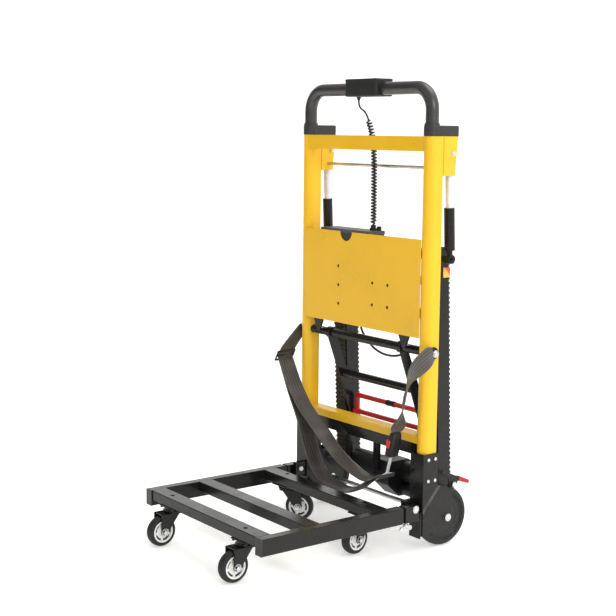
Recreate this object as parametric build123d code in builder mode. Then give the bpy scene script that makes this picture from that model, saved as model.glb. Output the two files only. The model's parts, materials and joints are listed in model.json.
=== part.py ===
from build123d import *
import math
import os

os.makedirs("parts", exist_ok=True)

# ---------------------------------------------------------------- driving dimensions, mm
# X points to the trolley's right, -Y towards the load platform, Z up from the floor.
# Y = 0 is the front line of the uprights; SHIFT_Y puts the origin of the finished
# pieces under the middle of the whole trolley.
SHIFT_Y = 182.85
SIDES = ((-1, "left"), (1, "right"))

# uprights
UP_X = 235.0
UP_R = 18.0
UP_DEPTH = 41.5
UP_BOTTOM = 160.0
UP_TOP = 1006.0
UP_IN = UP_X - UP_R
UP_OUT = UP_X + UP_R

# telescoping handle
TUBE_R = 16.0
TUBE_WALL = 2.0
TUBE_FIT = 0.08
HANDLE_Z = 1120.0
HANDLE_BEND = 54.0
LEG_BOTTOM = 560.0

# caps and rear brackets
CAP_WALL = 1.6
CAP_TOP = 1031.0
COLLAR_TOP = 1036.0
BRACKET_BOTTOM = 913.0
BRACKET_REAR = (79.0, 86.0)
PLATE = 2.5

# control box on the handle
BOX_HALF = 60.0
BOX_Y = (-9.0, 45.0)
BOX_Z = (1101.0, 1141.5)
LID_T = 3.0
ROCKER_X = -24.0
POWER_X = 26.0
KEYS_Z = 1124.0

TAIL_START = (-50.0, 28.0, 1093.0)

# front panel
PANEL_X = (-230.0, 227.0)
PANEL_Z = (525.0, 762.0)
PANEL_T = 2.0
NOTCH_X = -57.0
NOTCH_R = 24.0
PATTERN_X = (51.0, 109.0)
PATTERN_Z = (586.0, 641.0)
PATTERN_R = 2.75
SIDE_ROW = ((-84.0, 575.0), (-85.0, 623.0), (-86.0, 672.0))

# cross members
TIE_R = 4.3
TIE_Y = 65.0
TIE_Z = 930.0
STRAP_R = 11.0
STRAP_Y = 22.0
STRAP_Z = 490.0

# boots at the feet of the uprights
BOOT_T = 3.0
BOOT_TOP = 243.5
BOOT_IN = 209.0
JOGGLE = 5.5

# wheels and their axle
AXLE_Y = 82.5
AXLE_Z = 74.0
AXLE_R = 6.0
WHEEL_R = 74.0
WHEEL_X = (214.0, 245.0)
RIM_R = 54.0

# drive motor
MOTOR_Y = 66.0
MOTOR_Z = 148.0
MOTOR_R = 36.0
MOTOR_X = (-88.0, 38.0)

# crawlers: lengths along and across their own leaning frame
DRIVE_Y = 118.0
DRIVE_Z = 125.0
CRAWLER_TILT = 2.36
CRAWLER_L = 588.0
CRAWLER_X = (155.0, 202.0)
SIDE_T = 3.0
SIDE_R = 19.0
BELT_R = 23.6
BELT_T = 3.6
LUG_H = 2.8
LUG_W = 5.5
LUG_PITCH = 12.0
PULLEY_R = 19.6
SHAFT_R = 8.0
IDLER_PIN_R = 5.0
RUN_FIT = 0.06

# telescopic struts behind the uprights
STRUT_X = 237.0
STRUT_TOP = (72.0, 965.0)
STRUT_LOW = (84.0, 712.0)
ROD_R = 9.0
CYL_R = 13.0
CYL_BORE = 11.6
PIN_R = 4.0

# foot pedal
PEDAL_PIVOT = (97.0, 156.0)
PEDAL_X = (251.0, 255.0)
PEDAL_PIN_R = 4.5
PAD_OUTLINE = ((117, 172.5), (152, 157.5), (149, 150), (115, 161.5))
PAD_X = (240.0, 257.0)

# swing frame and its foot bar
ARM_X = (140.5, 145.5)
ARM_LOW = (104.0, 270.0)
ARM_W = 26.0
MID_TUBE_R = 10.5
FOOT_Y = 104.0
FOOT_Z = (270.0, 314.0)
FOOT_HALF = 127.0
FOOT_R = 6.6

# platform
PLAT_HALF = 252.5
RAIL_W = 25.0
RAIL_Z = (80.5, 120.5)
RAIL_Y = (-474.0, -61.0)
HINGE_Y = (-53.5, -9.0)
BAR_H = 25.0
BAR_W = 40.0
BAR_Y = (-454.0, -315.0, -112.0)
WALL = 2.0
TENON_BACK = 6.0
PIVOT_Y = -22.0
PIVOT_Z = 111.0
PIVOT_R = 5.0
SCREW_AT = (247.0, -48.0)

# casters
CASTER_X = 159.0
CASTERS = (("front_left", -1, -456.0, 2.0), ("front_right", 1, -456.0, 1.0),
           ("rear_left", -1, -105.0, 128.0), ("rear_right", 1, -105.0, 7.0))
CASTER_R = 37.5
CASTER_W = 24.0
CASTER_TRAIL = 34.0
FORK_TOP = 82.0
FORK_T = 3.0
CASTER_PIN_R = 4.0
ACCESS_R = 5.5

# harness webbing
WEB_Y = (-64.0, -16.0)
WEB_T = 2.4


# ---------------------------------------------------------------- helpers for the open block
def box(x, y, z, mode=Mode.ADD):
    centre = ((x[0] + x[1]) / 2, (y[0] + y[1]) / 2, (z[0] + z[1]) / 2)
    with Locations(centre):
        Box(abs(x[1] - x[0]), abs(y[1] - y[0]), abs(z[1] - z[0]), mode=mode)


def rod_x(x, y, z, radius, mode=Mode.ADD):
    with Locations(Location(((x[0] + x[1]) / 2, y, z), (0, 90, 0))):
        Cylinder(radius, abs(x[1] - x[0]), mode=mode)


def rod_y(x, y, z, radius, mode=Mode.ADD):
    with Locations(Location((x, (y[0] + y[1]) / 2, z), (90, 0, 0))):
        Cylinder(radius, abs(y[1] - y[0]), mode=mode)


def rod_z(x, y, z, radius, mode=Mode.ADD):
    with Locations((x, y, (z[0] + z[1]) / 2)):
        Cylinder(radius, abs(z[1] - z[0]), mode=mode)


def rod_between(start, end, radius, mode=Mode.ADD):
    direction = Vector(*end) - Vector(*start)
    with BuildSketch(Plane(origin=start, z_dir=direction)) as section:
        Circle(radius)
    extrude(section.sketch, amount=direction.length, mode=mode)


def side_plate(points, x, mode=Mode.ADD):
    # an outline in Y and Z, as thick as the X range
    with BuildSketch(Plane(origin=(min(x), 0, 0), x_dir=(0, 1, 0), z_dir=(1, 0, 0))) as face:
        with BuildLine():
            Polyline(*points, close=True)
        make_face()
    extrude(face.sketch, amount=abs(x[1] - x[0]), mode=mode)


def front_plate(points, y, mode=Mode.ADD):
    # an outline in X and Z, as thick as the Y range
    with BuildSketch(Plane(origin=(0, max(y), 0), x_dir=(1, 0, 0), z_dir=(0, -1, 0))) as face:
        with BuildLine():
            Polyline(*points, close=True)
        make_face()
    extrude(face.sketch, amount=abs(y[1] - y[0]), mode=mode)


def both(side, low, high):
    # an X range on the given side of the trolley
    return tuple(sorted((side * low, side * high)))


def upright_outline(bore):
    with BuildSketch(Plane.XY.offset(UP_BOTTOM)) as outline:
        with Locations((0, UP_R)):
            Circle(UP_R)
        with Locations((0, (UP_R + UP_DEPTH) / 2)):
            Rectangle(2 * UP_R, UP_DEPTH - UP_R)
        fillet(outline.vertices().sort_by(Axis.Y)[-2:], 3)
        if bore > 0:
            with Locations((0, UP_R)):
                Circle(bore, mode=Mode.SUBTRACT)
    return outline.sketch


def upright_gap():
    # clears the two uprights' whole outline out of the open block
    for side, name in SIDES:
        outline = upright_outline(0).moved(Location((side * UP_X, 0, 0)))
        extrude(outline, amount=UP_TOP - UP_BOTTOM, mode=Mode.SUBTRACT)


def crawler_yz(across, along):
    # a point of the crawler's leaning frame, in Y and Z
    lean = math.radians(CRAWLER_TILT)
    y = DRIVE_Y + across * math.cos(lean) - along * math.sin(lean)
    z = DRIVE_Z + across * math.sin(lean) + along * math.cos(lean)
    return y, z


def crawler_plane(x):
    lean = math.radians(CRAWLER_TILT)
    return Plane(origin=(x, DRIVE_Y, DRIVE_Z), x_dir=(0, math.cos(lean), math.sin(lean)),
                 z_dir=(1, 0, 0))


def oval(radius, mode=Mode.ADD):
    # a stadium round both pulley centres, in the crawler's frame
    with Locations((0, CRAWLER_L / 2)):
        SlotCenterToCenter(CRAWLER_L, 2 * radius, rotation=90, mode=mode)


def save(builder, label):
    part = builder.part.moved(Location((0, SHIFT_Y, 0)))
    part.label = label
    export_step(part, "parts/" + label + ".step")


# ---------------------------------------------------------------- uprights
for side, name in SIDES:
    with BuildPart() as upright:
        add(upright_outline(TUBE_R + TUBE_FIT).moved(Location((side * UP_X, 0, 0))))
        extrude(amount=UP_TOP - UP_BOTTOM)
        rod_x(both(side, 200, 270), STRAP_Y, STRAP_Z, STRAP_R, Mode.SUBTRACT)
    save(upright, "upright_" + name)

# ---------------------------------------------------------------- caps on the uprights
with BuildPart() as caps:
    for side, name in SIDES:
        half = UP_R + 0.8
        box(both(side, UP_X - half, UP_X + half), (UP_R, BRACKET_REAR[1] + 1), (UP_TOP, CAP_TOP))
        rod_z(side * UP_X, UP_R, (UP_TOP, CAP_TOP), UP_R + CAP_WALL)
    chamfer(caps.faces().filter_by(Axis.Z).group_by(Axis.Z)[-1].edges(), 2)
    for side, name in SIDES:
        rod_z(side * UP_X, UP_R, (UP_TOP, COLLAR_TOP), UP_R + 0.4)
        rod_z(side * UP_X, UP_R, (UP_TOP, COLLAR_TOP), TUBE_R + TUBE_FIT, Mode.SUBTRACT)
save(caps, "post_caps")

# ---------------------------------------------------------------- rear brackets
BRACKET_OUTLINE = ((UP_DEPTH, BRACKET_BOTTOM), (BRACKET_REAR[0], BRACKET_BOTTOM),
                   (BRACKET_REAR[1], UP_TOP), (UP_DEPTH, UP_TOP))
with BuildPart() as rear_brackets:
    for side, name in SIDES:
        side_plate(BRACKET_OUTLINE, both(side, UP_IN, UP_IN + PLATE))
        side_plate(BRACKET_OUTLINE, both(side, UP_OUT - PLATE, UP_OUT))
        box(both(side, UP_IN, UP_OUT), (UP_DEPTH, UP_DEPTH + PLATE), (BRACKET_BOTTOM, UP_TOP))
        rod_x(both(side, 200, 270), *STRUT_TOP, PIN_R, Mode.SUBTRACT)
        rod_x(both(side, 200, UP_IN + 3), TIE_Y, TIE_Z, TIE_R, Mode.SUBTRACT)
save(rear_brackets, "rear_brackets")

with BuildPart() as tie_rod:
    rod_x((-UP_IN - PLATE, UP_IN + PLATE), TIE_Y, TIE_Z, TIE_R)
save(tie_rod, "tie_rod")

# ---------------------------------------------------------------- cross members
with BuildPart() as upper_crossbar:
    box((-UP_X, UP_X), (3, 24), (970, UP_TOP - 0.5))
    upright_gap()
save(upper_crossbar, "upper_crossbar")

with BuildPart() as lower_crossbar:
    box((-UP_X, UP_X), (4, 41), (264, 283.5))
    upright_gap()
save(lower_crossbar, "lower_crossbar")

with BuildPart() as lower_beam:
    box((-UP_X, UP_X), (8, 40), (234, 264))
    for side, name in SIDES:
        box(both(side, BOOT_IN, 260), (0, 50), (230, BOOT_TOP), Mode.SUBTRACT)
    upright_gap()
    box((42, 60), (18, 28), (160, 234))
    box((-70, -52), (18, 28), (150, 234))
    box((-70, -52), (28, 36), (140, 156))
    rod_x((-75, -45), MOTOR_Y, MOTOR_Z, MOTOR_R, Mode.SUBTRACT)
save(lower_beam, "lower_beam")

# ---------------------------------------------------------------- front panel
with BuildPart() as front_panel:
    with BuildSketch(Plane(origin=(0, 0, 0), x_dir=(1, 0, 0), z_dir=(0, -1, 0))) as face:
        with Locations((sum(PANEL_X) / 2, sum(PANEL_Z) / 2)):
            RectangleRounded(PANEL_X[1] - PANEL_X[0], PANEL_Z[1] - PANEL_Z[0], 3)
        with Locations((NOTCH_X, PANEL_Z[1])):
            Circle(NOTCH_R, mode=Mode.SUBTRACT)
        with Locations(*[(x, z) for x in PATTERN_X for z in PATTERN_Z], *SIDE_ROW):
            Circle(PATTERN_R, mode=Mode.SUBTRACT)
    extrude(amount=PANEL_T)
    for side, name in SIDES:
        for z in (570, 715):
            box(both(side, UP_IN - 4, UP_IN), (-PANEL_T, 34), (z, z + 26))
            box(both(side, UP_IN - 22, UP_IN), (-PANEL_T, 2), (z, z + 26))
save(front_panel, "front_panel")

# ---------------------------------------------------------------- strap tube and its gussets
with BuildPart() as strap_tube:
    rod_x((-UP_OUT, UP_OUT), STRAP_Y, STRAP_Z, STRAP_R)
    for side, name in SIDES:
        front_plate(((side * 150, 545), (side * 190, 545), (side * 190, 525),
                     (side * 177, 497), (side * 163, 497), (side * 150, 525)), (0, 4))
        box(both(side, 163, 177), (0, 22), (494, 500))
    rod_y(112, (STRAP_Y + 8, STRAP_Y + 16), STRAP_Z, 5)
save(strap_tube, "strap_tube")

with BuildPart() as strap_anchors:
    for side, name in SIDES:
        rod_x(both(side, UP_OUT, UP_OUT + 6), STRAP_Y, STRAP_Z, 15)
        rod_x(both(side, UP_OUT + 6, UP_OUT + 8), STRAP_Y, STRAP_Z, 9)
        rod_x(both(side, UP_OUT + 10.5, UP_OUT + 17), STRAP_Y, STRAP_Z, 8)
        rod_x(both(side, UP_OUT + 6, UP_OUT + 17), STRAP_Y, STRAP_Z, 5)
save(strap_anchors, "strap_anchors")

# ---------------------------------------------------------------- battery box
BATTERY_X = (-162.0, 31.0)
BATTERY_Y = (0.0, 54.0)
BATTERY_Z = (590.0, 768.0)
GLAND_X = -1.0
GLAND_Y = 42.0
with BuildPart() as battery_case:
    box(BATTERY_X, BATTERY_Y, (BATTERY_Z[0], BATTERY_Z[1] - 9))
    fillet(battery_case.edges().filter_by(Axis.Z).sort_by(Axis.Y)[-2:], 5)
save(battery_case, "battery_case")

with BuildPart() as battery_lid:
    box((BATTERY_X[0] - 1.5, BATTERY_X[1] + 1.5), (BATTERY_Y[0], BATTERY_Y[1] + 1.5),
        (BATTERY_Z[1] - 9, BATTERY_Z[1]))
    fillet(battery_lid.edges().filter_by(Axis.Z).sort_by(Axis.Y)[-2:], 6)
    fillet(battery_lid.faces().sort_by(Axis.Z)[-1].edges().sort_by(Axis.Y)[1:], 2)
save(battery_lid, "battery_lid")

MOTOR_GLAND = (-45.0, 42.0)
with BuildPart() as cable_glands:
    rod_z(GLAND_X, GLAND_Y, (BATTERY_Z[1], BATTERY_Z[1] + 5), 9.5)
    rod_z(GLAND_X, GLAND_Y, (BATTERY_Z[1] + 5, BATTERY_Z[1] + 13), 7)
    rod_z(24, 40, (BATTERY_Z[1], BATTERY_Z[1] + 11), 6)
    rod_z(*MOTOR_GLAND, (BATTERY_Z[0] - 5, BATTERY_Z[0]), 8)
    rod_z(*MOTOR_GLAND, (BATTERY_Z[0] - 14, BATTERY_Z[0] - 5), 5.5)
save(cable_glands, "cable_glands")

# ---------------------------------------------------------------- boots
CREASE = math.radians(48.4)
CREASE_FROM = -71.9
CREASE_TO = -58.3
REACH = 400.0


def joggled_outer(side, outline):
    # the boot's outer plate steps inwards across a slanting double crease
    along = (0, math.cos(CREASE), math.sin(CREASE))
    across = (0, math.sin(CREASE), -math.cos(CREASE))
    outer = side * (UP_OUT + BOOT_T)
    low = outer - side * JOGGLE
    start = Vector(*along) * -REACH
    with BuildSketch(Plane(origin=start, x_dir=across, z_dir=along)) as strip:
        normal = Vector(*along).cross(Vector(*across)).X
        with BuildLine():
            Polyline((-REACH, outer * normal), (CREASE_FROM, outer * normal),
                     (CREASE_TO, low * normal), (REACH, low * normal),
                     (REACH, (low - side * BOOT_T) * normal),
                     (CREASE_TO, (low - side * BOOT_T) * normal),
                     (CREASE_FROM, (outer - side * BOOT_T) * normal),
                     (-REACH, (outer - side * BOOT_T) * normal), close=True)
        make_face()
    extrude(strip.sketch, amount=2 * REACH)
    side_plate(outline, both(side, 230, 270), Mode.INTERSECT)


OUTER_OUTLINE = ((-3, BOOT_TOP), (45, BOOT_TOP), (45, 163), (64, 155), (106, 155), (106, 140),
                 (99, 128), (99, 66), (90, 58), (74, 58), (30, 52), (26, 20), (4, 37),
                 (4, 93), (-3, 100))
INNER_OUTLINE = ((-3, BOOT_TOP), (45, BOOT_TOP), (45, 160), (97, 88), (97, 66), (88, 60),
                 (30, 60), (-3, 90))
for side, name in SIDES:
    with BuildPart() as boot:
        joggled_outer(side, OUTER_OUTLINE)
        side_plate(INNER_OUTLINE, both(side, BOOT_IN, BOOT_IN + BOOT_T))
        box(both(side, BOOT_IN, UP_OUT + BOOT_T), (-BOOT_T, 0), (100, BOOT_TOP))
        box(both(side, BOOT_IN, UP_OUT - JOGGLE), (-BOOT_T, 0), (32, 100))
        box(both(side, UP_OUT - JOGGLE - 4, UP_OUT - JOGGLE), (-BOOT_T, 5), (37, 93))
        box(both(side, BOOT_IN + BOOT_T, UP_IN), (3, 41), (165, BOOT_TOP))
        box(both(side, 214, 226.5), (-36, -BOOT_T), (92, 128))
        if side > 0:
            rod_x((UP_OUT - JOGGLE, UP_OUT - JOGGLE + BOOT_T), *PEDAL_PIVOT, 9)
        rod_x(both(side, 205, 260), AXLE_Y, AXLE_Z, AXLE_R, Mode.SUBTRACT)
        rod_x(both(side, 205, 230), PIVOT_Y, PIVOT_Z, PIVOT_R, Mode.SUBTRACT)
    save(boot, "boot_" + name)

with BuildPart() as boot_rivets:
    for side, name in SIDES:
        for y, z in ((14, 229), (36, 229), (14, 176), (36, 176)):
            rod_x(both(side, UP_OUT + BOOT_T, UP_OUT + BOOT_T + 2), y, z, 4.5)
save(boot_rivets, "boot_rivets")

with BuildPart() as frame_bolts:
    for side, name in SIDES:
        rod_x(both(side, UP_IN - 5, UP_OUT + 2), *STRUT_TOP, PIN_R)
        rod_x(both(side, UP_OUT, UP_OUT + 5), *STRUT_TOP, 7)
        rod_x(both(side, UP_IN - 6, UP_IN), *STRUT_TOP, 6.5)
        rod_x(both(side, 210, PLAT_HALF + 3), PIVOT_Y, PIVOT_Z, PIVOT_R)
        rod_x(both(side, PLAT_HALF + 0.5, PLAT_HALF + 6.5), PIVOT_Y, PIVOT_Z, 8)
        rod_x(both(side, 207, 214), PIVOT_Y, PIVOT_Z, 8)
    rod_x((UP_OUT - JOGGLE + BOOT_T, 262), *PEDAL_PIVOT, PEDAL_PIN_R)
    rod_x((257, 263), *PEDAL_PIVOT, 8)
save(frame_bolts, "frame_bolts")

# ---------------------------------------------------------------- wheels
with BuildPart() as wheel_axle:
    rod_x((-UP_OUT - 4, UP_OUT + 4), AXLE_Y, AXLE_Z, AXLE_R)
    for side, name in SIDES:
        rod_x(both(side, UP_OUT - JOGGLE + BOOT_T, UP_OUT + 4), AXLE_Y, AXLE_Z, 9.5)
        rod_x(both(side, 203.5, BOOT_IN), AXLE_Y, AXLE_Z, 9.5)
save(wheel_axle, "wheel_axle")

for side, name in SIDES:
    with BuildPart() as wheel:
        rod_x(both(side, *WHEEL_X), AXLE_Y, AXLE_Z, WHEEL_R)
        fillet(wheel.edges().filter_by(GeomType.CIRCLE), 9)
        for end in WHEEL_X:
            rod_x(both(side, end - 7, end + 7), AXLE_Y, AXLE_Z, RIM_R - 7, Mode.SUBTRACT)
        rod_x(both(side, 212.6, 246.9), AXLE_Y, AXLE_Z, 14)
        rod_x(both(side, 205, 250), AXLE_Y, AXLE_Z, AXLE_R + RUN_FIT, Mode.SUBTRACT)
    save(wheel, "wheel_" + name)

# ---------------------------------------------------------------- drive unit
with BuildPart() as motor:
    rod_x(MOTOR_X, MOTOR_Y, MOTOR_Z, MOTOR_R)
    fillet(motor.faces().sort_by(Axis.X)[0].edges(), 18)
    rod_x((28, 38), MOTOR_Y, MOTOR_Z, MOTOR_R + 3)
save(motor, "motor")

with BuildPart() as gearbox:
    side_plate(((28, 186), (96, 186), (140, 150), (140, 104), (120, 92), (64, 92), (28, 126)),
               (38, 92))
    fillet(gearbox.edges().filter_by(Axis.X), 5)
    rod_x((92, 140), 82, 111, 17.5)
    rod_x((92, 152), 85, 157, 25)
    rod_x((30, 160), DRIVE_Y, DRIVE_Z, SHAFT_R + RUN_FIT, Mode.SUBTRACT)
save(gearbox, "gearbox")

with BuildPart() as drive_shaft:
    rod_x((-CRAWLER_X[1], CRAWLER_X[1]), DRIVE_Y, DRIVE_Z, SHAFT_R)
    for side, name in SIDES:
        rod_x(both(side, CRAWLER_X[0] + SIDE_T + 0.5, CRAWLER_X[1] - SIDE_T - 0.5),
              DRIVE_Y, DRIVE_Z, PULLEY_R)
save(drive_shaft, "drive_shaft")

# ---------------------------------------------------------------- crawlers
IDLER = crawler_yz(0, CRAWLER_L)
with BuildPart() as crawler_frames:
    for side, name in SIDES:
        low = both(side, CRAWLER_X[0], CRAWLER_X[0] + SIDE_T)
        high = both(side, CRAWLER_X[1] - SIDE_T, CRAWLER_X[1])
        for plate in (low, high):
            with BuildSketch(crawler_plane(plate[0])):
                oval(SIDE_R)
            extrude(amount=SIDE_T)
        with BuildSketch(crawler_plane(min(low[0], high[0]))):
            with Locations((0, CRAWLER_L / 2)):
                Rectangle(2 * PULLEY_R - 4, CRAWLER_L - 90)
        extrude(amount=CRAWLER_X[1] - CRAWLER_X[0])
        rod_x(both(side, 150, 210), DRIVE_Y, DRIVE_Z, SHAFT_R + RUN_FIT, Mode.SUBTRACT)
        rod_x(both(side, CRAWLER_X[0] - 3, CRAWLER_X[1] + 3), *IDLER, IDLER_PIN_R)
        rod_x(both(side, CRAWLER_X[1], 249), *STRUT_LOW, PIN_R)
        rod_x(both(side, CRAWLER_X[1], 222), *STRUT_LOW, 7)
save(crawler_frames, "crawler_frames")

BELT_X = (CRAWLER_X[0] + SIDE_T + 0.4, CRAWLER_X[1] - SIDE_T - 0.4)
LUG_R = BELT_R + LUG_H / 2 - 0.2
with BuildPart() as crawler_belts:
    for side, name in SIDES:
        with BuildSketch(crawler_plane(min(both(side, *BELT_X)))):
            oval(BELT_R)
            for edge in (-1, 1):
                with Locations((edge * LUG_R, CRAWLER_L / 2)):
                    with GridLocations(1, LUG_PITCH, 1, int(CRAWLER_L / LUG_PITCH)):
                        Rectangle(LUG_H + 0.4, LUG_W)
            for end in (0, 1):
                with Locations((0, end * CRAWLER_L)):
                    with PolarLocations(LUG_R, 6, start_angle=15 + 180 * (1 - end),
                                        angular_range=150):
                        Rectangle(LUG_H + 0.4, LUG_W)
            oval(BELT_R - BELT_T, Mode.SUBTRACT)
        extrude(amount=BELT_X[1] - BELT_X[0])
save(crawler_belts, "crawler_belts")

with BuildPart() as idlers:
    for side, name in SIDES:
        rod_x(both(side, CRAWLER_X[0] + SIDE_T + 0.5, CRAWLER_X[1] - SIDE_T - 0.5),
              *IDLER, PULLEY_R)
        rod_x(both(side, 150, 210), *IDLER, IDLER_PIN_R + RUN_FIT, Mode.SUBTRACT)
save(idlers, "idler_pulleys")

with BuildPart() as crawler_crossbar:
    y, z = crawler_yz(0, 525)
    box((-CRAWLER_X[0], CRAWLER_X[0]), (y - 8, y + 8), (z - 10, z + 10))
save(crawler_crossbar, "crawler_crossbar")

# ---------------------------------------------------------------- struts
REACH_UP = Vector(0, *STRUT_TOP) - Vector(0, *STRUT_LOW)


def strut_point(side, share):
    # a point of the strut's centre line, from its lower pin to its upper one
    return Vector(side * STRUT_X, *STRUT_LOW) + REACH_UP * share


with BuildPart() as strut_rods:
    for side, name in SIDES:
        rod_between(strut_point(side, 1), strut_point(side, 0.22), ROD_R)
        rod_x(both(side, STRUT_X - 9, STRUT_X + 9), *STRUT_TOP, 10.5)
        rod_x(both(side, 220, 250), *STRUT_TOP, PIN_R + RUN_FIT, Mode.SUBTRACT)
save(strut_rods, "strut_rods")

with BuildPart() as strut_cylinders:
    for side, name in SIDES:
        rod_between(strut_point(side, 0.085), strut_point(side, 0.49), CYL_R)
        rod_between(strut_point(side, 0.1), strut_point(side, 0.49), CYL_BORE, Mode.SUBTRACT)
        rod_between(strut_point(side, 0), strut_point(side, 0.085), 7)
        rod_x(both(side, STRUT_X - 10, STRUT_X + 8), *STRUT_LOW, 11)
        rod_x(both(side, 220, 250), *STRUT_LOW, PIN_R + RUN_FIT, Mode.SUBTRACT)
save(strut_cylinders, "strut_cylinders")

# ---------------------------------------------------------------- swing frame and foot bar
with BuildPart() as swing_frame:
    for side, name in SIDES:
        x = both(side, *ARM_X)
        top = (STRAP_Y, STRAP_Z)
        bend = (60, 392)
        half = ARM_W / 2
        side_plate(((top[0] - half, top[1]), (bend[0] - half, bend[1] - 4),
                    (ARM_LOW[0] - half, ARM_LOW[1]), (ARM_LOW[0] + half, ARM_LOW[1]),
                    (bend[0] + half, bend[1] + 4), (top[0] + half, top[1])), x)
        rod_x(x, *top, half)
        rod_x(x, *ARM_LOW, half)
        rod_x(both(side, 133, 149), *top, 15)
        rod_x(both(side, 125, 160), *top, STRAP_R + RUN_FIT, Mode.SUBTRACT)
        rod_x(both(side, 129, ARM_X[1] + 2), *ARM_LOW, PIN_R)
    rod_x((-ARM_X[0], ARM_X[0]), 67, 377, MID_TUBE_R)
save(swing_frame, "swing_frame")

with BuildPart() as foot_bar:
    low_z = FOOT_Z[0]
    high_z = FOOT_Z[1]
    for z in FOOT_Z:
        rod_x((-FOOT_HALF, FOOT_HALF), FOOT_Y, z, FOOT_R)
    for side, name in SIDES:
        rod_z(side * FOOT_HALF, FOOT_Y, (low_z, high_z), FOOT_R)
        for z in FOOT_Z:
            with Locations((side * FOOT_HALF, FOOT_Y, z)):
                Sphere(FOOT_R)
        rod_x(both(side, FOOT_HALF - 8, FOOT_HALF + 11), *ARM_LOW, 8.5)
        rod_x(both(side, FOOT_HALF - 1, 150), *ARM_LOW, PIN_R + RUN_FIT, Mode.SUBTRACT)
save(foot_bar, "foot_bar")

# ---------------------------------------------------------------- foot pedal
with BuildPart() as pedal_arm:
    side_plate(((60, 189), (64, 196), (114, 172.5), (119, 168.5), (146, 156), (144, 153),
                (116, 164), (112, 158), (106, 148), (88, 148), (82, 174)), PEDAL_X)
    rod_x(PEDAL_X, *PEDAL_PIVOT, 11)
    rod_x((250, 257), *PEDAL_PIVOT, PEDAL_PIN_R + RUN_FIT, Mode.SUBTRACT)
save(pedal_arm, "pedal_arm")

with BuildPart() as pedal_pad:
    side_plate(PAD_OUTLINE, PAD_X)
    fillet(pedal_pad.edges().filter_by(Axis.X), 2)
    add(pedal_arm.part, mode=Mode.SUBTRACT)
save(pedal_pad, "pedal_pad")

# ---------------------------------------------------------------- platform
with BuildPart() as rails:
    for side, name in SIDES:
        box(both(side, PLAT_HALF - RAIL_W, PLAT_HALF), RAIL_Y, RAIL_Z)
    fillet(rails.edges().filter_by(Axis.Y), 2)
    for side, name in SIDES:
        box(both(side, PLAT_HALF - RAIL_W + WALL, PLAT_HALF - WALL), RAIL_Y,
            (RAIL_Z[0] + WALL, RAIL_Z[1] - WALL), Mode.SUBTRACT)
save(rails, "platform_rails")

with BuildPart() as rail_plugs:
    for side, name in SIDES:
        box(both(side, PLAT_HALF - RAIL_W, PLAT_HALF), (RAIL_Y[0] - 2.5, RAIL_Y[0]), RAIL_Z)
        box(both(side, PLAT_HALF - RAIL_W + WALL, PLAT_HALF - WALL), (RAIL_Y[0], RAIL_Y[0] + 14),
            (RAIL_Z[0] + WALL, RAIL_Z[1] - WALL))
save(rail_plugs, "rail_plugs")

with BuildPart() as crossbars:
    inner = PLAT_HALF - RAIL_W
    for y in BAR_Y:
        box((-inner, inner), (y - BAR_W / 2, y + BAR_W / 2), (RAIL_Z[1] - BAR_H, RAIL_Z[1]))
    fillet(crossbars.edges().filter_by(Axis.X), 2)
    for y in BAR_Y:
        box((-inner, inner), (y - BAR_W / 2 + WALL, y + BAR_W / 2 - WALL),
            (RAIL_Z[1] - BAR_H + WALL, RAIL_Z[1] - WALL), Mode.SUBTRACT)
    for label, side, y, turn in CASTERS:
        # access hole over the caster's king pin
        rod_z(side * CASTER_X, y, (RAIL_Z[1] - WALL - 1, RAIL_Z[1] + 1), ACCESS_R, Mode.SUBTRACT)
save(crossbars, "platform_crossbars")

with BuildPart() as hinge_blocks:
    for side, name in SIDES:
        box(both(side, PLAT_HALF - RAIL_W, PLAT_HALF), HINGE_Y, RAIL_Z)
    fillet(hinge_blocks.edges().filter_by(Axis.Y), 2)
    fillet(hinge_blocks.faces().sort_by(Axis.Y)[-2:].edges().filter_by(Axis.X), 4)
    for side, name in SIDES:
        # the tenon stands back from the rail's outer side, so a groove shows at the joint
        box(both(side, PLAT_HALF - RAIL_W + WALL, PLAT_HALF - TENON_BACK),
            (RAIL_Y[1] - 30, HINGE_Y[0]), (RAIL_Z[0] + WALL, RAIL_Z[1] - WALL))
        rod_x(both(side, 220, 260), PIVOT_Y, PIVOT_Z, PIVOT_R + RUN_FIT, Mode.SUBTRACT)
save(hinge_blocks, "hinge_blocks")

with BuildPart() as lock_screws:
    for side, name in SIDES:
        x = side * SCREW_AT[0]
        y = SCREW_AT[1]
        rod_z(x, y, (69, RAIL_Z[0]), 3)
        rod_z(x, y, (71, RAIL_Z[0] - 3), 6)
        box((x - 2, x + 2), (y - 15, y + 15), (62, 74))
save(lock_screws, "lock_screws")

# ---------------------------------------------------------------- casters
MOUNT_TOP = RAIL_Z[1] - BAR_H
with BuildPart() as caster_mounts:
    for label, side, y, turn in CASTERS:
        x = side * CASTER_X
        plate_y = BAR_Y[0] if y < -200 else BAR_Y[2]
        box((x - 30, x + 30), (plate_y - 22, plate_y + 22), (MOUNT_TOP - 3, MOUNT_TOP))
        rod_z(x, y, (MOUNT_TOP - 11, MOUNT_TOP - 3), 21)
        rod_z(x, y, (FORK_TOP - FORK_T - 2, MOUNT_TOP), 5)
        rod_z(x, y, (FORK_TOP - FORK_T - 2.5, FORK_TOP - FORK_T - 0.5), 8)
save(caster_mounts, "caster_mounts")


def caster_place(side, y, turn):
    # casters are laid out trailing towards -Y, then swivelled about Z
    return Location((side * CASTER_X, y, 0), (0, 0, turn))


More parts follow.
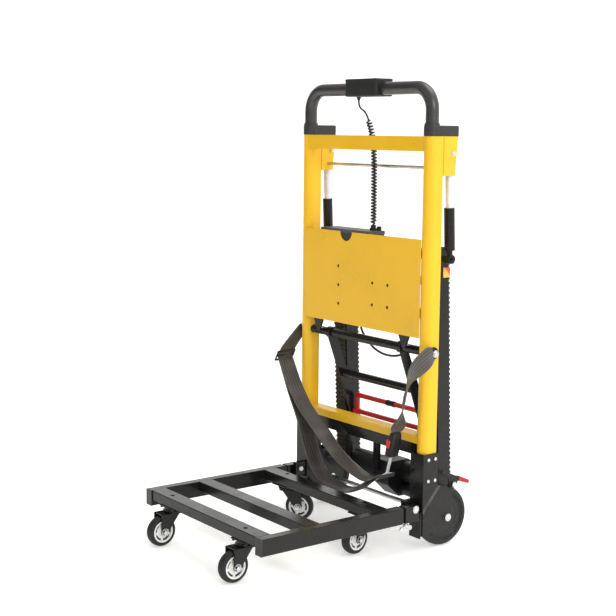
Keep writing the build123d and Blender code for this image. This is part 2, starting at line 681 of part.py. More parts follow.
for label, side, y, turn in CASTERS:
    place = caster_place(side, y, turn)
    with BuildPart() as fork:
        rod_z(0, 0, (FORK_TOP - FORK_T, FORK_TOP), 22)
        box((-19, 19), (-40, 0), (FORK_TOP - FORK_T, FORK_TOP))
        for edge in (-1, 1):
            x = both(edge, 16, 19)
            side_plate(((10, FORK_TOP), (-42, FORK_TOP), (-CASTER_TRAIL - 10, CASTER_R),
                        (-CASTER_TRAIL + 10, CASTER_R)), x)
            rod_x(x, -CASTER_TRAIL, CASTER_R, 10)
            rod_x(both(edge, 19, 25), -CASTER_TRAIL, CASTER_R, 7.5)
        rod_x((-19, 19), -CASTER_TRAIL, CASTER_R, CASTER_PIN_R)
        rod_z(0, 0, (60, 100), 5 + RUN_FIT, Mode.SUBTRACT)
    fork.part = fork.part.moved(place)
    save(fork, "caster_fork_" + label)

    with BuildPart() as wheel:
        rod_x((-CASTER_W / 2, CASTER_W / 2), -CASTER_TRAIL, CASTER_R, CASTER_R)
        fillet(wheel.edges().filter_by(GeomType.CIRCLE), 5)
        for edge in (-1, 1):
            with BuildSketch(Plane(origin=(edge * 5, -CASTER_TRAIL, CASTER_R),
                                   z_dir=(edge, 0, 0))) as web:
                Circle(CASTER_R - 10)
                Circle(11, mode=Mode.SUBTRACT)
            extrude(amount=20, mode=Mode.SUBTRACT)
        rod_x((-15, 15), -CASTER_TRAIL, CASTER_R, 11)
        rod_x((-20, 20), -CASTER_TRAIL, CASTER_R, CASTER_PIN_R + RUN_FIT, Mode.SUBTRACT)
    wheel.part = wheel.part.moved(place)
    save(wheel, "caster_wheel_" + label)

# ---------------------------------------------------------------- telescoping handle
with BuildPart() as handle_tube:
    with BuildLine() as loop:
        FilletPolyline((-UP_X, UP_R, LEG_BOTTOM), (-UP_X, UP_R, HANDLE_Z), (UP_X, UP_R, HANDLE_Z),
                       (UP_X, UP_R, LEG_BOTTOM), radius=HANDLE_BEND)
    with BuildSketch(Plane(origin=(-UP_X, UP_R, LEG_BOTTOM), z_dir=(0, 0, 1))):
        Circle(TUBE_R)
        Circle(TUBE_R - TUBE_WALL, mode=Mode.SUBTRACT)
    sweep()
save(handle_tube, "handle_tube")

with BuildPart() as control_box:
    box((-BOX_HALF, BOX_HALF), BOX_Y, BOX_Z)
    fillet(control_box.edges().filter_by(Axis.X).group_by(Axis.Z)[0], 5)
    rod_x((-BOX_HALF - 1, BOX_HALF + 1), UP_R, HANDLE_Z, TUBE_R, Mode.SUBTRACT)
    box((ROCKER_X - 9.4, ROCKER_X + 9.4), (35, BOX_Y[1]), (KEYS_Z - 7.4, KEYS_Z + 7.4),
        Mode.SUBTRACT)
    rod_y(POWER_X, (35, BOX_Y[1]), KEYS_Z, 6.3, Mode.SUBTRACT)
    box((-BOX_HALF - 1, BOX_HALF + 1), (BOX_Y[0] - 1, BOX_Y[1] + 1), (BOX_Z[1], BOX_Z[1] + LID_T))
    rod_z(TAIL_START[0], TAIL_START[1], (TAIL_START[2], BOX_Z[0]), 5.5)
save(control_box, "control_box")

with BuildPart() as rocker:
    rod_x((ROCKER_X - 9, ROCKER_X + 9), BOX_Y[1] - 3, KEYS_Z, 6.8)
    box((ROCKER_X - 10, ROCKER_X + 10), (20, BOX_Y[1] - 3), (1110, 1140), Mode.SUBTRACT)
    box((ROCKER_X - 9, ROCKER_X + 9), (BOX_Y[1] - 6, BOX_Y[1] - 2.9), (KEYS_Z - 5, KEYS_Z + 5))
    rod_x((ROCKER_X - 9.4, ROCKER_X + 9.4), BOX_Y[1] - 4.5, KEYS_Z, 1.4)
save(rocker, "rocker_switch")

with BuildPart() as power_button:
    rod_y(POWER_X, (38.5, BOX_Y[1] + 3), KEYS_Z, 6)
save(power_button, "power_button")

# ---------------------------------------------------------------- cords
CORD_R = 2.5
COIL_R = 8.5
CABLE_R = 3.0


def cord(label, points, radius):
    # straight runs joined by tangent arcs, each as large as its two runs allow
    radii = []
    for before, here, after in zip(points, points[1:], points[2:]):
        first = Vector(*here) - Vector(*before)
        second = Vector(*after) - Vector(*here)
        turn = math.radians(first.get_angle(second))
        radii.append(0.45 * min(first.length, second.length) / math.tan(turn / 2))
    with BuildPart() as tube:
        with BuildLine() as route:
            FilletPolyline(*points, radius=radii)
        with BuildSketch(Plane(origin=points[0], z_dir=Vector(*points[1]) - Vector(*points[0]))):
            Circle(radius)
        sweep()
    length = sum(edge.length for edge in route.line.edges())
    print(label, "radii", [round(r, 1) for r in radii], "length", round(length, 1), "volume",
          round(tube.part.volume), "section x length", round(math.pi * radius ** 2 * length))
    save(tube, label)


COIL_ROUTE = [(-21.0, 36.0, 1046.0), (-10.0, 39.5, 1016.0), (-3.0, 41.7, 964.0),
              (GLAND_X, GLAND_Y, 900.0), (GLAND_X, GLAND_Y, BATTERY_Z[1] + 13)]
TAIL_ROUTE = [TAIL_START, (-50.0, 28.0, 1075.0), (-27.9, 33.8, 1064.8), (-21.0, 36.0, 1046.0)]
MOTOR_ROUTE = [(*MOTOR_GLAND, BATTERY_Z[0] - 14), (*MOTOR_GLAND, 546.0), (-66.0, 58.0, 506.0),
               (-36.0, 68.0, 466.0), (6.0, 71.0, 448.0), (54.0, 78.0, 447.0),
               (94.0, 84.0, 464.0), (112.0, 78.0, STRAP_Z), (112.0, STRAP_Y + 16, STRAP_Z)]
cord("cord_tail", TAIL_ROUTE, CORD_R)
cord("cord_coil", COIL_ROUTE, COIL_R)
cord("motor_cable", MOTOR_ROUTE, CABLE_R)


# ---------------------------------------------------------------- harness
def ribbon(points, y):
    # a band of webbing seen edge on, as thick as WEB_T and as wide as the Y range
    spine = [Vector(*point, 0) for point in points]
    for here, there in zip(spine, spine[1:]):
        run = there - here
        offset = Vector(-run.Y, run.X, 0).normalized() * (WEB_T / 2)
        corners = (here - offset, there - offset, there + offset, here + offset)
        front_plate([(corner.X, corner.Y) for corner in corners], y)
    for joint in spine[1:-1]:
        rod_y(joint.X, y, joint.Y, WEB_T / 2)


ANCHOR_X = UP_OUT + 9.2
with BuildPart() as webbing_left:
    side_plate(((8, STRAP_Z + 14), (36, STRAP_Z + 8), (36, STRAP_Z - 12), (-16, 412), (-64, 412),
                (-14, STRAP_Z)), (-ANCHOR_X - WEB_T / 2, -ANCHOR_X + WEB_T / 2))
    ribbon(((-ANCHOR_X, 412), (-216, 327), (-170, 254), (-152, 205), (-103, 134), (-60, 108),
            (3, 106), (63, 122), (120, 163), (165, 190)), WEB_Y)
    ribbon(((-ANCHOR_X, 412), (-200, 328), (-165, 284), (-130, 262), (-70, 220), (15, 178),
            (78, 164), (120, 163)), WEB_Y)
    rod_x((-ANCHOR_X - 3, -ANCHOR_X + 3), STRAP_Y, STRAP_Z, 5.3, Mode.SUBTRACT)
save(webbing_left, "webbing_left")

with BuildPart() as webbing_right:
    side_plate(((8, STRAP_Z + 14), (36, STRAP_Z + 8), (36, STRAP_Z - 12), (-18, 440), (-62, 440),
                (-14, STRAP_Z)), (ANCHOR_X - WEB_T / 2, ANCHOR_X + WEB_T / 2))
    ribbon(((ANCHOR_X, 440), (219, 378), (203, 313), (190.3, 294.8)), WEB_Y)
    rod_x((ANCHOR_X - 3, ANCHOR_X + 3), STRAP_Y, STRAP_Z, 5.3, Mode.SUBTRACT)
save(webbing_right, "webbing_right")

BUCKLE_LEAN = (171.0, 230.0, 189.0, 294.0)
BUCKLE_Y = (-50.0, -16.0)
BUTTON_X = (172.0, 184.0)
BUTTON_Z = (252.0, 273.0)
BUTTON_FIT = 0.3
with BuildPart() as buckle:
    x0, z0, x1, z1 = BUCKLE_LEAN
    front_plate(((x0 - 11, z0 + 3.5), (x0 + 12, z0 - 3.5), (x1 + 12, z1 - 3.5),
                 (x1 - 11, z1 + 3.5)), BUCKLE_Y)
    fillet(buckle.edges(), 3)
    box((BUTTON_X[0] - BUTTON_FIT, BUTTON_X[1] + BUTTON_FIT), (BUCKLE_Y[0] - 1, BUCKLE_Y[0] + 8.5),
        (BUTTON_Z[0] - BUTTON_FIT, BUTTON_Z[1] + BUTTON_FIT), Mode.SUBTRACT)
save(buckle, "buckle")

with BuildPart() as buckle_button:
    box(BUTTON_X, (BUCKLE_Y[0] - 1.5, BUCKLE_Y[0] + 5), BUTTON_Z)
save(buckle_button, "buckle_button")

with BuildPart() as strap_fittings:
    box((158, 172), WEB_Y, (186, 194))
    front_plate(((158, 192), (172, 188), (176, 226.2), (166, 229.2)), (-42, -24))
    for z in (404, 424):
        box((-ANCHOR_X - 5, -ANCHOR_X + 5), (WEB_Y[0] - 4, WEB_Y[1] + 4), (z, z + 5))
    for y in (WEB_Y[0] - 4, WEB_Y[1] + 1):
        box((-ANCHOR_X - 5, -ANCHOR_X + 5), (y, y + 3), (404, 429))
    add(webbing_left.part, mode=Mode.SUBTRACT)
save(strap_fittings, "strap_fittings")
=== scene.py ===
import json
import math

import bmesh
import bpy
from mathutils import Matrix, Vector


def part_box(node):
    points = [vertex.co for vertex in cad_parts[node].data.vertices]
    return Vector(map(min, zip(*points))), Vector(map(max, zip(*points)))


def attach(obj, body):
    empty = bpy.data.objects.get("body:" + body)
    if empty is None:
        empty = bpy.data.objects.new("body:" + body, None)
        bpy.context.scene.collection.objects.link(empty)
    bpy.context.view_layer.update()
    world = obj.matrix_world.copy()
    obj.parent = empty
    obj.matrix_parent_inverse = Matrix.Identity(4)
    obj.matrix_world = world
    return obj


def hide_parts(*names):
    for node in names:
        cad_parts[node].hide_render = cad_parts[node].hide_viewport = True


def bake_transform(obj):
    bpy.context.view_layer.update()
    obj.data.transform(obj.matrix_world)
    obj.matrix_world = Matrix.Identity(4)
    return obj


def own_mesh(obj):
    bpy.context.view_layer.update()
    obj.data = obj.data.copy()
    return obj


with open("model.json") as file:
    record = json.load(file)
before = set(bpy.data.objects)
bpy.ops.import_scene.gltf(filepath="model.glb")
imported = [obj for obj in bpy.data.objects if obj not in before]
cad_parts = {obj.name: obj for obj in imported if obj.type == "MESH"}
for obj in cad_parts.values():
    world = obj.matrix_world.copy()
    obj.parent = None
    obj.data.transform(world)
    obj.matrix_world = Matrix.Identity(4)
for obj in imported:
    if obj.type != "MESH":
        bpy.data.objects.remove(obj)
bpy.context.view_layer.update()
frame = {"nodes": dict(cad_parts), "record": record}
NODES = frame["nodes"]
JOINTS = {joint["name"]: joint for joint in frame["record"]["behaviour"]["joints"]}
MM = 0.001
FRONT_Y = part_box("upright_right")[0].y


def at(x, y, z):
    """A point given in mm from the uprights' front line, in the frame's metres."""
    return Vector((x * MM, FRONT_Y + y * MM, z * MM))


# ---------------------------------------------------------------- camera
CAMERA_AT = (2465.98, -2034.89, 1011.61)
CAMERA_YAW = math.radians(52.81)
CAMERA_PITCH = math.radians(7.86)
CAMERA_ROLL = math.radians(0.62)
LENS = 74.35


def make_camera():
    forward = Vector((-math.sin(CAMERA_YAW) * math.cos(CAMERA_PITCH),
                      math.cos(CAMERA_YAW) * math.cos(CAMERA_PITCH), -math.sin(CAMERA_PITCH)))
    level = Vector((math.cos(CAMERA_YAW), math.sin(CAMERA_YAW), 0))
    up = level.cross(forward)
    right = math.cos(CAMERA_ROLL) * level + math.sin(CAMERA_ROLL) * up
    up = math.cos(CAMERA_ROLL) * up - math.sin(CAMERA_ROLL) * level
    data = bpy.data.cameras.new("camera")
    data.lens = LENS
    data.sensor_width = 36
    data.clip_end = 50
    camera = bpy.data.objects.new("camera", data)
    bpy.context.collection.objects.link(camera)
    turn = Matrix((right, up, -forward)).transposed().to_4x4()
    camera.matrix_world = Matrix.Translation(at(*CAMERA_AT)) @ turn
    bpy.context.scene.camera = camera


make_camera()


# ---------------------------------------------------------------- materials
class Look:
    """A Principled material whose colour, roughness and bump come from procedural nodes."""

    def __init__(self, name, metallic=0.0, coat=0.0, edge=0.0012, specular=0.5):
        self.material = bpy.data.materials.new(name)
        self.material.use_nodes = True
        self.tree = self.material.node_tree
        self.shader = self.tree.nodes["Principled BSDF"]
        self.shader.inputs["Metallic"].default_value = metallic
        self.shader.inputs["Coat Weight"].default_value = coat
        self.shader.inputs["Coat Roughness"].default_value = 0.15
        self.shader.inputs["Specular IOR Level"].default_value = specular
        self.place = self.add("ShaderNodeTexCoord").outputs["Object"]
        self.normal = None
        if edge:
            bevel = self.add("ShaderNodeBevel")
            bevel.samples = 4
            bevel.inputs["Radius"].default_value = edge
            self.normal = bevel.outputs["Normal"]

    def add(self, kind):
        return self.tree.nodes.new(kind)

    def link(self, out, into):
        self.tree.links.new(out, into)

    def noise(self, scale, detail=4.0, stretch=None, rough=0.5):
        texture = self.add("ShaderNodeTexNoise")
        texture.inputs["Scale"].default_value = scale
        texture.inputs["Detail"].default_value = detail
        texture.inputs["Roughness"].default_value = rough
        source = self.place
        if stretch:
            mapping = self.add("ShaderNodeMapping")
            mapping.inputs["Scale"].default_value = stretch
            self.link(source, mapping.inputs["Vector"])
            source = mapping.outputs["Vector"]
        self.link(source, texture.inputs["Vector"])
        return texture.outputs["Fac"]

    def spread(self, value, low, high, from_low=0.35, from_high=0.65):
        ranged = self.add("ShaderNodeMapRange")
        ranged.inputs["From Min"].default_value = from_low
        ranged.inputs["From Max"].default_value = from_high
        ranged.inputs["To Min"].default_value = low
        ranged.inputs["To Max"].default_value = high
        self.link(value, ranged.inputs["Value"])
        return ranged.outputs["Result"]

    def mix(self, share, first, second):
        mixed = self.add("ShaderNodeMix")
        mixed.data_type = "RGBA"
        for place, value in ((6, first), (7, second)):
            if isinstance(value, tuple):
                mixed.inputs[place].default_value = (*value, 1)
            else:
                self.link(value, mixed.inputs[place])
        self.link(share, mixed.inputs[0])
        return mixed.outputs[2]

    def bump(self, height, strength, distance):
        bump = self.add("ShaderNodeBump")
        bump.inputs["Strength"].default_value = strength
        bump.inputs["Distance"].default_value = distance
        self.link(height, bump.inputs["Height"])
        if self.normal:
            self.link(self.normal, bump.inputs["Normal"])
        self.normal = bump.outputs["Normal"]

    def finish(self, colour, rough):
        self.link(colour, self.shader.inputs["Base Color"])
        self.link(rough, self.shader.inputs["Roughness"])
        if self.normal:
            self.link(self.normal, self.shader.inputs["Normal"])
            self.link(self.normal, self.shader.inputs["Coat Normal"])
        return self.material


def shade(colour, factor):
    return tuple(channel * factor for channel in colour)


def coated(name, colour, rough, grain=900, depth=0.00004, smudge=9.0, variation=0.12, dirt=0.1,
           **more):
    """Paint, plastic or rubber: fine grain in the bump, slow drift in colour and gloss, dust."""
    look = Look(name, **more)
    slow = look.noise(smudge, 5, rough=0.6)
    base = look.mix(look.spread(slow, 0, 1), shade(colour, 1 - variation),
                    shade(colour, 1 + variation))
    dust = look.spread(look.noise(smudge * 6, 8, rough=0.7), 0, dirt, 0.55, 0.8)
    dusty = look.mix(dust, base, tuple(0.5 * channel + 0.2 for channel in colour))
    look.bump(look.noise(grain, 2), 0.35, depth)
    return look.finish(dusty, look.spread(slow, rough - 0.07, rough + 0.09))


def bare_metal(name, colour, rough, stretch=(1, 1, 1), scale=500, metallic=1.0):
    """Bare metal with drawn or turned scratches along the stretched axis."""
    look = Look(name, metallic=metallic, edge=0.0007)
    scratch = look.noise(scale, 6, stretch, 0.7)
    stain = look.noise(25, 5, rough=0.65)
    base = look.mix(look.spread(stain, 0, 1), shade(colour, 0.8), shade(colour, 1.08))
    look.bump(scratch, 0.25, 0.00003)
    return look.finish(base, look.spread(scratch, rough - 0.08, rough + 0.12))


def belt_rubber():
    """Black rubber with pale dust rubbed into its tips."""
    look = Look("belt_rubber", edge=0.0006)
    grime = look.spread(look.noise(45, 8, rough=0.7), 0, 0.6, 0.4, 0.75)
    base = look.mix(grime, (0.014, 0.013, 0.012), (0.075, 0.06, 0.046))
    look.bump(look.noise(1100, 3), 0.5, 0.00008)
    return look.finish(base, look.spread(look.noise(60), 0.62, 0.85))


def webbing_cloth():
    """Woven polyester: ribs along the band and fine weft across it, with painted shade in the
    grooves, painted highlight on the rib crests and thread crossings, and paler worn patches.
    """
    look = Look("webbing", edge=0)
    uv = look.add("ShaderNodeUVMap")
    split = look.add("ShaderNodeSeparateXYZ")
    look.link(uv.outputs["UV"], split.inputs["Vector"])

    def wave(source, count):
        scaled = look.add("ShaderNodeMath")
        scaled.operation = "MULTIPLY"
        scaled.inputs[1].default_value = count * 2 * math.pi
        look.link(source, scaled.inputs[0])
        sine = look.add("ShaderNodeMath")
        sine.operation = "SINE"
        look.link(scaled.outputs[0], sine.inputs[0])
        return look.spread(sine.outputs[0], 0, 1, -1, 1)

    ribs = wave(split.outputs["X"], 6)
    warp = wave(split.outputs["X"], 34)
    weft = wave(split.outputs["Y"], 720)
    product = look.add("ShaderNodeMath")
    product.operation = "MULTIPLY"
    look.link(warp, product.inputs[0])
    look.link(weft, product.inputs[1])
    height = look.add("ShaderNodeMath")
    height.operation = "MULTIPLY_ADD"
    height.inputs[1].default_value = 0.25
    look.link(product.outputs[0], height.inputs[0])
    look.link(ribs, height.inputs[2])
    # Painted shade and highlight: darker in the grooves between ribs, paler on the rib crests.
    base = look.mix(look.spread(ribs, 0, 1, 0.1, 0.9), (0.03, 0.027, 0.024), (0.074, 0.066, 0.058))
    # Painted highlight where the warp and weft threads cross.
    thread_highlight = look.mix(look.spread(product.outputs[0], 0, 0.3, 0, 1), base, (0.12, 0.108, 0.095))
    worn = look.mix(look.spread(look.noise(14, 6, (1, 1, 2.5)), 0, 0.45, 0.48, 0.72), thread_highlight,
                    (0.13, 0.12, 0.108))
    look.bump(height.outputs[0], 0.5, 0.0005)
    look.shader.inputs["Sheen Weight"].default_value = 0.12
    look.shader.inputs["Sheen Roughness"].default_value = 0.4
    return look.finish(worn, look.spread(look.noise(22, 4), 0.3, 0.62))


YELLOW = (0.86, 0.49, 0.013)
M = {
    "yellow": coated("yellow_paint", YELLOW, 0.34, variation=0.03, dirt=0.03, coat=0.12,
                     specular=0.35),
    "black": coated("black_paint", (0.0095, 0.009, 0.009), 0.27, variation=0.25, dirt=0.05,
                    coat=0.26, specular=0.16),
    "dark": coated("motor_enamel", (0.009, 0.009, 0.01), 0.42, variation=0.3, coat=0.08,
                   specular=0.25),
    "handle": coated("handle_paint", (0.024, 0.022, 0.02), 0.36, grain=1500, variation=0.2,
                     coat=0.3),
    "red_paint": coated("red_paint", (0.55, 0.012, 0.018), 0.35, variation=0.15, coat=0.3),
    "red_plastic": coated("red_plastic", (0.6, 0.015, 0.012), 0.33, variation=0.1, coat=0.2),
    "plastic": coated("black_plastic", (0.014, 0.014, 0.014), 0.48, grain=700, variation=0.3,
                      specular=0.35),
    "cap": coated("cap_plastic", (0.018, 0.018, 0.018), 0.42, grain=800, variation=0.25),
    "grey": coated("grey_plastic", (0.06, 0.062, 0.066), 0.5, grain=700, variation=0.2),
    "cord": coated("cord_sheath", (0.014, 0.014, 0.014), 0.38, grain=1200, variation=0.3, edge=0),
    "rubber": coated("tyre_rubber", (0.013, 0.0125, 0.0125), 0.6, grain=800, depth=0.00008,
                     variation=0.35, specular=0.35),
    "pad": coated("pad_rubber", (0.4, 0.012, 0.012), 0.5, grain=800, variation=0.15, dirt=0.2),
    "hub": coated("hub_plastic", (0.78, 0.78, 0.76), 0.4, variation=0.05, dirt=0.2),
    "steel": bare_metal("bright_steel", (0.62, 0.62, 0.6), 0.26, (1, 1, 14)),
    "zinc": bare_metal("zinc_plate", (0.68, 0.68, 0.69), 0.3, (1, 1, 1), 160),
    "anodised": bare_metal("anodised_tube", (0.8, 0.81, 0.82), 0.42, (9, 9, 1), 300, 0.45),
    "loop": coated("webbing_fold", (0.045, 0.041, 0.036), 0.6, grain=1600, depth=0.0001, edge=0),
    "belt": belt_rubber(),
    "webbing": webbing_cloth(),
}


def paint(key, *nodes):
    """Gives CAD nodes one of the materials, on their object's own slots."""
    for node in nodes:
        for place in NODES[node].material_slots:
            place.link = "OBJECT"
            place.material = M[key]


paint("yellow", "upright_left", "upright_right", "rear_brackets", "upper_crossbar",
      "lower_crossbar", "front_panel")
paint("dark", "motor", "gearbox")
paint("black", "lower_beam", "boot_left", "boot_right", "strap_tube", "swing_frame", "pedal_arm",
      "crawler_frames", "crawler_crossbar", "platform_rails", "platform_crossbars",
      "hinge_blocks", "strut_cylinders", "caster_mounts")
paint("handle", "handle_tube")
paint("red_paint", "foot_bar")
paint("cap", "post_caps", "rail_plugs", "battery_case")
paint("grey", "battery_lid")
paint("plastic", "cable_glands", "idler_pulleys")
paint("anodised", "strut_rods")
paint("steel", "tie_rod", "wheel_axle", "drive_shaft")
paint("belt", "crawler_belts")
for node in NODES:
    if node.startswith("caster_fork"):
        paint("black", node)


# ---------------------------------------------------------------- mesh helpers
def finish_piece(name, mesh, key, body, replaces=(), smooth=True, soft=0, segments=2):
    """Makes the object, with its material, body, slot and any rounding of its edges in mm."""
    mesh.update()
    piece = bpy.data.objects.new(name, mesh)
    bpy.context.collection.objects.link(piece)
    piece.data.materials.append(M[key])
    if smooth:
        for polygon in mesh.polygons:
            polygon.use_smooth = True
    if body:
        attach(piece, body)
    if replaces:
        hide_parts(*replaces)
    if soft:
        soften(piece, soft, segments)
    return piece


def from_bmesh(shape, name):
    bmesh.ops.recalc_face_normals(shape, faces=shape.faces)
    mesh = bpy.data.meshes.new(name)
    shape.to_mesh(mesh)
    shape.free()
    return mesh


def axis_frame(axis):
    """Two unit vectors square to the axis."""
    axis = Vector(axis).normalized()
    side = axis.orthogonal().normalized()
    return axis, side, axis.cross(side)


def lathe(shape, centre, axis, profile, segments=48):
    """Turns a closed profile of (along, radius) pairs, in mm, about an axis."""
    axis, side, other = axis_frame(axis)
    rings = []
    for step in range(segments):
        angle = 2 * math.pi * step / segments
        out = math.cos(angle) * side + math.sin(angle) * other
        rings.append([shape.verts.new(centre + along * MM * axis + radius * MM * out)
                      for along, radius in profile])
    count = len(profile)
    for step in range(segments):
        here = rings[step]
        there = rings[(step + 1) % segments]
        for place in range(count):
            after = (place + 1) % count
            shape.faces.new((here[place], here[after], there[after], there[place]))


def prism(shape, corners, axis, depth):
    """A closed prism: corners in metres, pushed depth mm along the axis."""
    push = Vector(axis).normalized() * depth * MM
    low = [shape.verts.new(corner) for corner in corners]
    high = [shape.verts.new(corner + push) for corner in corners]
    shape.faces.new(low[::-1])
    shape.faces.new(high)
    for place in range(len(low)):
        after = (place + 1) % len(low)
        shape.faces.new((low[place], low[after], high[after], high[place]))


def hex_head(shape, centre, axis, across, height):
    """A chamfered hexagon head standing on its seat."""
    axis, side, other = axis_frame(axis)
    rounds = []
    for along, share in ((0, 1), (0.8, 1), (1, 0.84)):
        ring = []
        for corner in range(6):
            angle = math.radians(60 * corner + 10)
            out = (math.cos(angle) * side + math.sin(angle) * other) * across / math.sqrt(3) * share
            ring.append(shape.verts.new(centre + (axis * along * height + out) * MM))
        rounds.append(ring)
    shape.faces.new(rounds[0][::-1])
    shape.faces.new(rounds[-1])
    for low, high in zip(rounds, rounds[1:]):
        for corner in range(6):
            after = (corner + 1) % 6
            shape.faces.new((low[corner], low[after], high[after], high[corner]))


def dome(shape, centre, axis, radius, height, segments=20):
    """A round-headed rivet or screw on its seat."""
    steps = 6
    profile = [(0, 0.01)] + [(height * math.sin(math.pi / 2 * step / steps),
                             max(radius * math.cos(math.pi / 2 * step / steps), 0.01))
                            for step in range(steps + 1)]
    lathe(shape, centre, axis, profile, segments)


def rounded_box(name, low, high, radius, key, body, replaces=(), segments=3):
    """A box between two corners in metres with all its edges rounded."""
    shape = bmesh.new()
    bmesh.ops.create_cube(shape, size=1)
    size = Vector(high) - Vector(low)
    for vert in shape.verts:
        vert.co = Vector(low) + Vector(((vert.co.x + 0.5) * size.x, (vert.co.y + 0.5) * size.y,
                                        (vert.co.z + 0.5) * size.z))
    bmesh.ops.bevel(shape, geom=shape.edges[:], offset=radius * MM, segments=segments,
                    profile=0.5, affect="EDGES")
    return finish_piece(name, from_bmesh(shape, name), key, body, replaces, smooth=False)


def tube(name, points, radius, key, body, sides=10):
    """A mesh tube that follows points in metres, its section carried along without twist."""
    shape = bmesh.new()
    before = None
    side = None
    first = None
    for place, point in enumerate(points):
        ahead = points[min(place + 1, len(points) - 1)] - points[max(place - 1, 0)]
        ahead.normalize()
        if side is None:
            side = ahead.orthogonal().normalized()
        side = (side - side.dot(ahead) * ahead).normalized()
        other = ahead.cross(side)
        ring = []
        for step in range(sides):
            angle = 2 * math.pi * step / sides
            ring.append(shape.verts.new(point + radius * (math.cos(angle) * side
                                                          + math.sin(angle) * other)))
        if before:
            for step in range(sides):
                after = (step + 1) % sides
                shape.faces.new((before[step], before[after], ring[after], ring[step]))
        else:
            first = ring
        before = ring
    shape.faces.new(first[::-1])
    shape.faces.new(before)
    return finish_piece(name, from_bmesh(shape, name), key, body)


# ---------------------------------------------------------------- cords
COIL_ROUTE = [(-21.0, 36.0, 1046.0), (-10.0, 39.5, 1016.0), (-3.0, 41.7, 964.0),
              (-1.0, 42.0, 900.0), (-1.0, 42.0, 781.0)]
TAIL_ROUTE = [(-50.0, 28.0, 1093.0), (-50.0, 28.0, 1075.0), (-27.9, 33.8, 1064.8),
              (-21.0, 36.0, 1046.0)]
MOTOR_ROUTE = [(-45.0, 42.0, 576.0), (-45.0, 42.0, 546.0), (-66.0, 58.0, 506.0),
               (-36.0, 68.0, 466.0), (6.0, 71.0, 448.0), (54.0, 78.0, 447.0),
               (94.0, 84.0, 464.0), (112.0, 78.0, 490.0), (112.0, 38.0, 490.0)]
COIL_TURNS = 34
COIL_RADIUS = 6.0
WIRE_RADIUS = 2.3


def nurbs(name, points, bevel=0.0, resolution=12):
    data = bpy.data.curves.new(name, "CURVE")
    data.dimensions = "3D"
    data.resolution_u = resolution
    spline = data.splines.new("NURBS")
    spline.points.add(len(points) - 1)
    for place, point in zip(spline.points, points):
        place.co = (*point, 1)
    spline.order_u = 3
    spline.use_endpoint_u = True
    data.bevel_depth = bevel
    data.bevel_resolution = 6
    data.use_fill_caps = True
    piece = bpy.data.objects.new(name, data)
    bpy.context.collection.objects.link(piece)
    return piece


def line_points(points):
    """Points read off the NURBS line of a route."""
    guide = nurbs("guide", points, resolution=24)
    bpy.context.view_layer.update()
    mesh = bpy.data.meshes.new_from_object(guide)
    line = [vert.co.copy() for vert in mesh.vertices]
    bpy.data.objects.remove(guide)
    bpy.data.meshes.remove(mesh)
    return line


def walk(line, count):
    """Even steps along a line of points, with the direction at each."""
    lengths = [0.0]
    for here, there in zip(line, line[1:]):
        lengths.append(lengths[-1] + (there - here).length)
    steps = []
    place = 0
    for step in range(count + 1):
        wanted = lengths[-1] * step / count
        while place < len(line) - 2 and lengths[place + 1] < wanted:
            place += 1
        run = max(lengths[place + 1] - lengths[place], 1e-9)
        share = (wanted - lengths[place]) / run
        steps.append((line[place].lerp(line[place + 1], share),
                      (line[place + 1] - line[place]).normalized()))
    return steps


def path_length(points):
    return sum((there - here).length for here, there in zip(points, points[1:]))


def make_curly_cord():
    tail = line_points([at(*point) for point in TAIL_ROUTE])
    spine = line_points([at(*point) for point in COIL_ROUTE])
    per_turn = 14
    steps = walk(spine, COIL_TURNS * per_turn)
    side = steps[0][1].orthogonal().normalized()
    path = tail[:-1]
    for place, (point, ahead) in enumerate(steps):
        side = (side - side.dot(ahead) * ahead).normalized()
        angle = 2 * math.pi * place / per_turn
        ends = min(place, len(steps) - 1 - place) / per_turn
        reach = COIL_RADIUS * MM * min(1.0, ends)
        out = math.cos(angle) * side + math.sin(angle) * ahead.cross(side)
        path.append(point + reach * out)
    cord = tube("curly_cord", path, WIRE_RADIUS * MM, "cord", None, 8)
    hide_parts("cord_coil", "cord_tail")
    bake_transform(cord)


def make_motor_cable():
    cable = nurbs("motor_lead", [at(*point) for point in MOTOR_ROUTE], bevel=0.003)
    cable.data.materials.append(M["cord"])
    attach(cable, "frame")
    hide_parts("motor_cable")
    length = path_length(line_points([at(*point) for point in MOTOR_ROUTE]))


make_curly_cord()
make_motor_cable()


# ---------------------------------------------------------------- wheels
def make_main_wheels():
    for name in ("left", "right"):
        low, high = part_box("wheel_" + name)
        centre = (low + high) / 2
        radius = (high.z - low.z) / 2 / MM
        half = 15.8
        tyre = bmesh.new()
        profile = [(-half, 55), (-half, 60)]
        for step in range(13):
            angle = math.pi * step / 12
            profile.append((-half * math.cos(angle), radius - 12 + 12 * math.sin(angle) ** 0.7))
        profile += [(half, 60), (half, 55)]
        lathe(tyre, centre, (1, 0, 0), profile, 96)
        for edge in (-1, 1):
            ring = [(edge * half, 57), (edge * (half + 0.9), 58), (edge * (half + 0.9), 60),
                    (edge * half, 61)]
            lathe(tyre, centre, (1, 0, 0), ring, 96)
        finish_piece("wheel_tyre_" + name, from_bmesh(tyre, "tyre"), "rubber", "wheel_" + name,
                     ("wheel_" + name,))
        rim = bmesh.new()
        half_rim = [(14.7, 55.5), (14.7, 53.6), (12.4, 51.8), (11.4, 48.5), (11.4, 41), (10.4, 40),
                    (10.4, 25), (12.6, 20), (16.8, 17), (16.8, 6.4)]
        profile = [(-along, radius) for along, radius in half_rim] + half_rim[::-1]
        lathe(rim, centre, (1, 0, 0), profile, 72)
        finish_piece("wheel_rim_" + name, from_bmesh(rim, "rim"), "plastic",
                     "wheel_" + name, smooth=False, soft=0.6)


def soften(piece, width, segments):
    """Rounds a piece's sharp edges by a real width in mm."""
    bevel = piece.modifiers.new("bevel", "BEVEL")
    bevel.width = width * MM
    bevel.segments = segments
    bevel.limit_method = "ANGLE"
    bevel.angle_limit = math.radians(32)


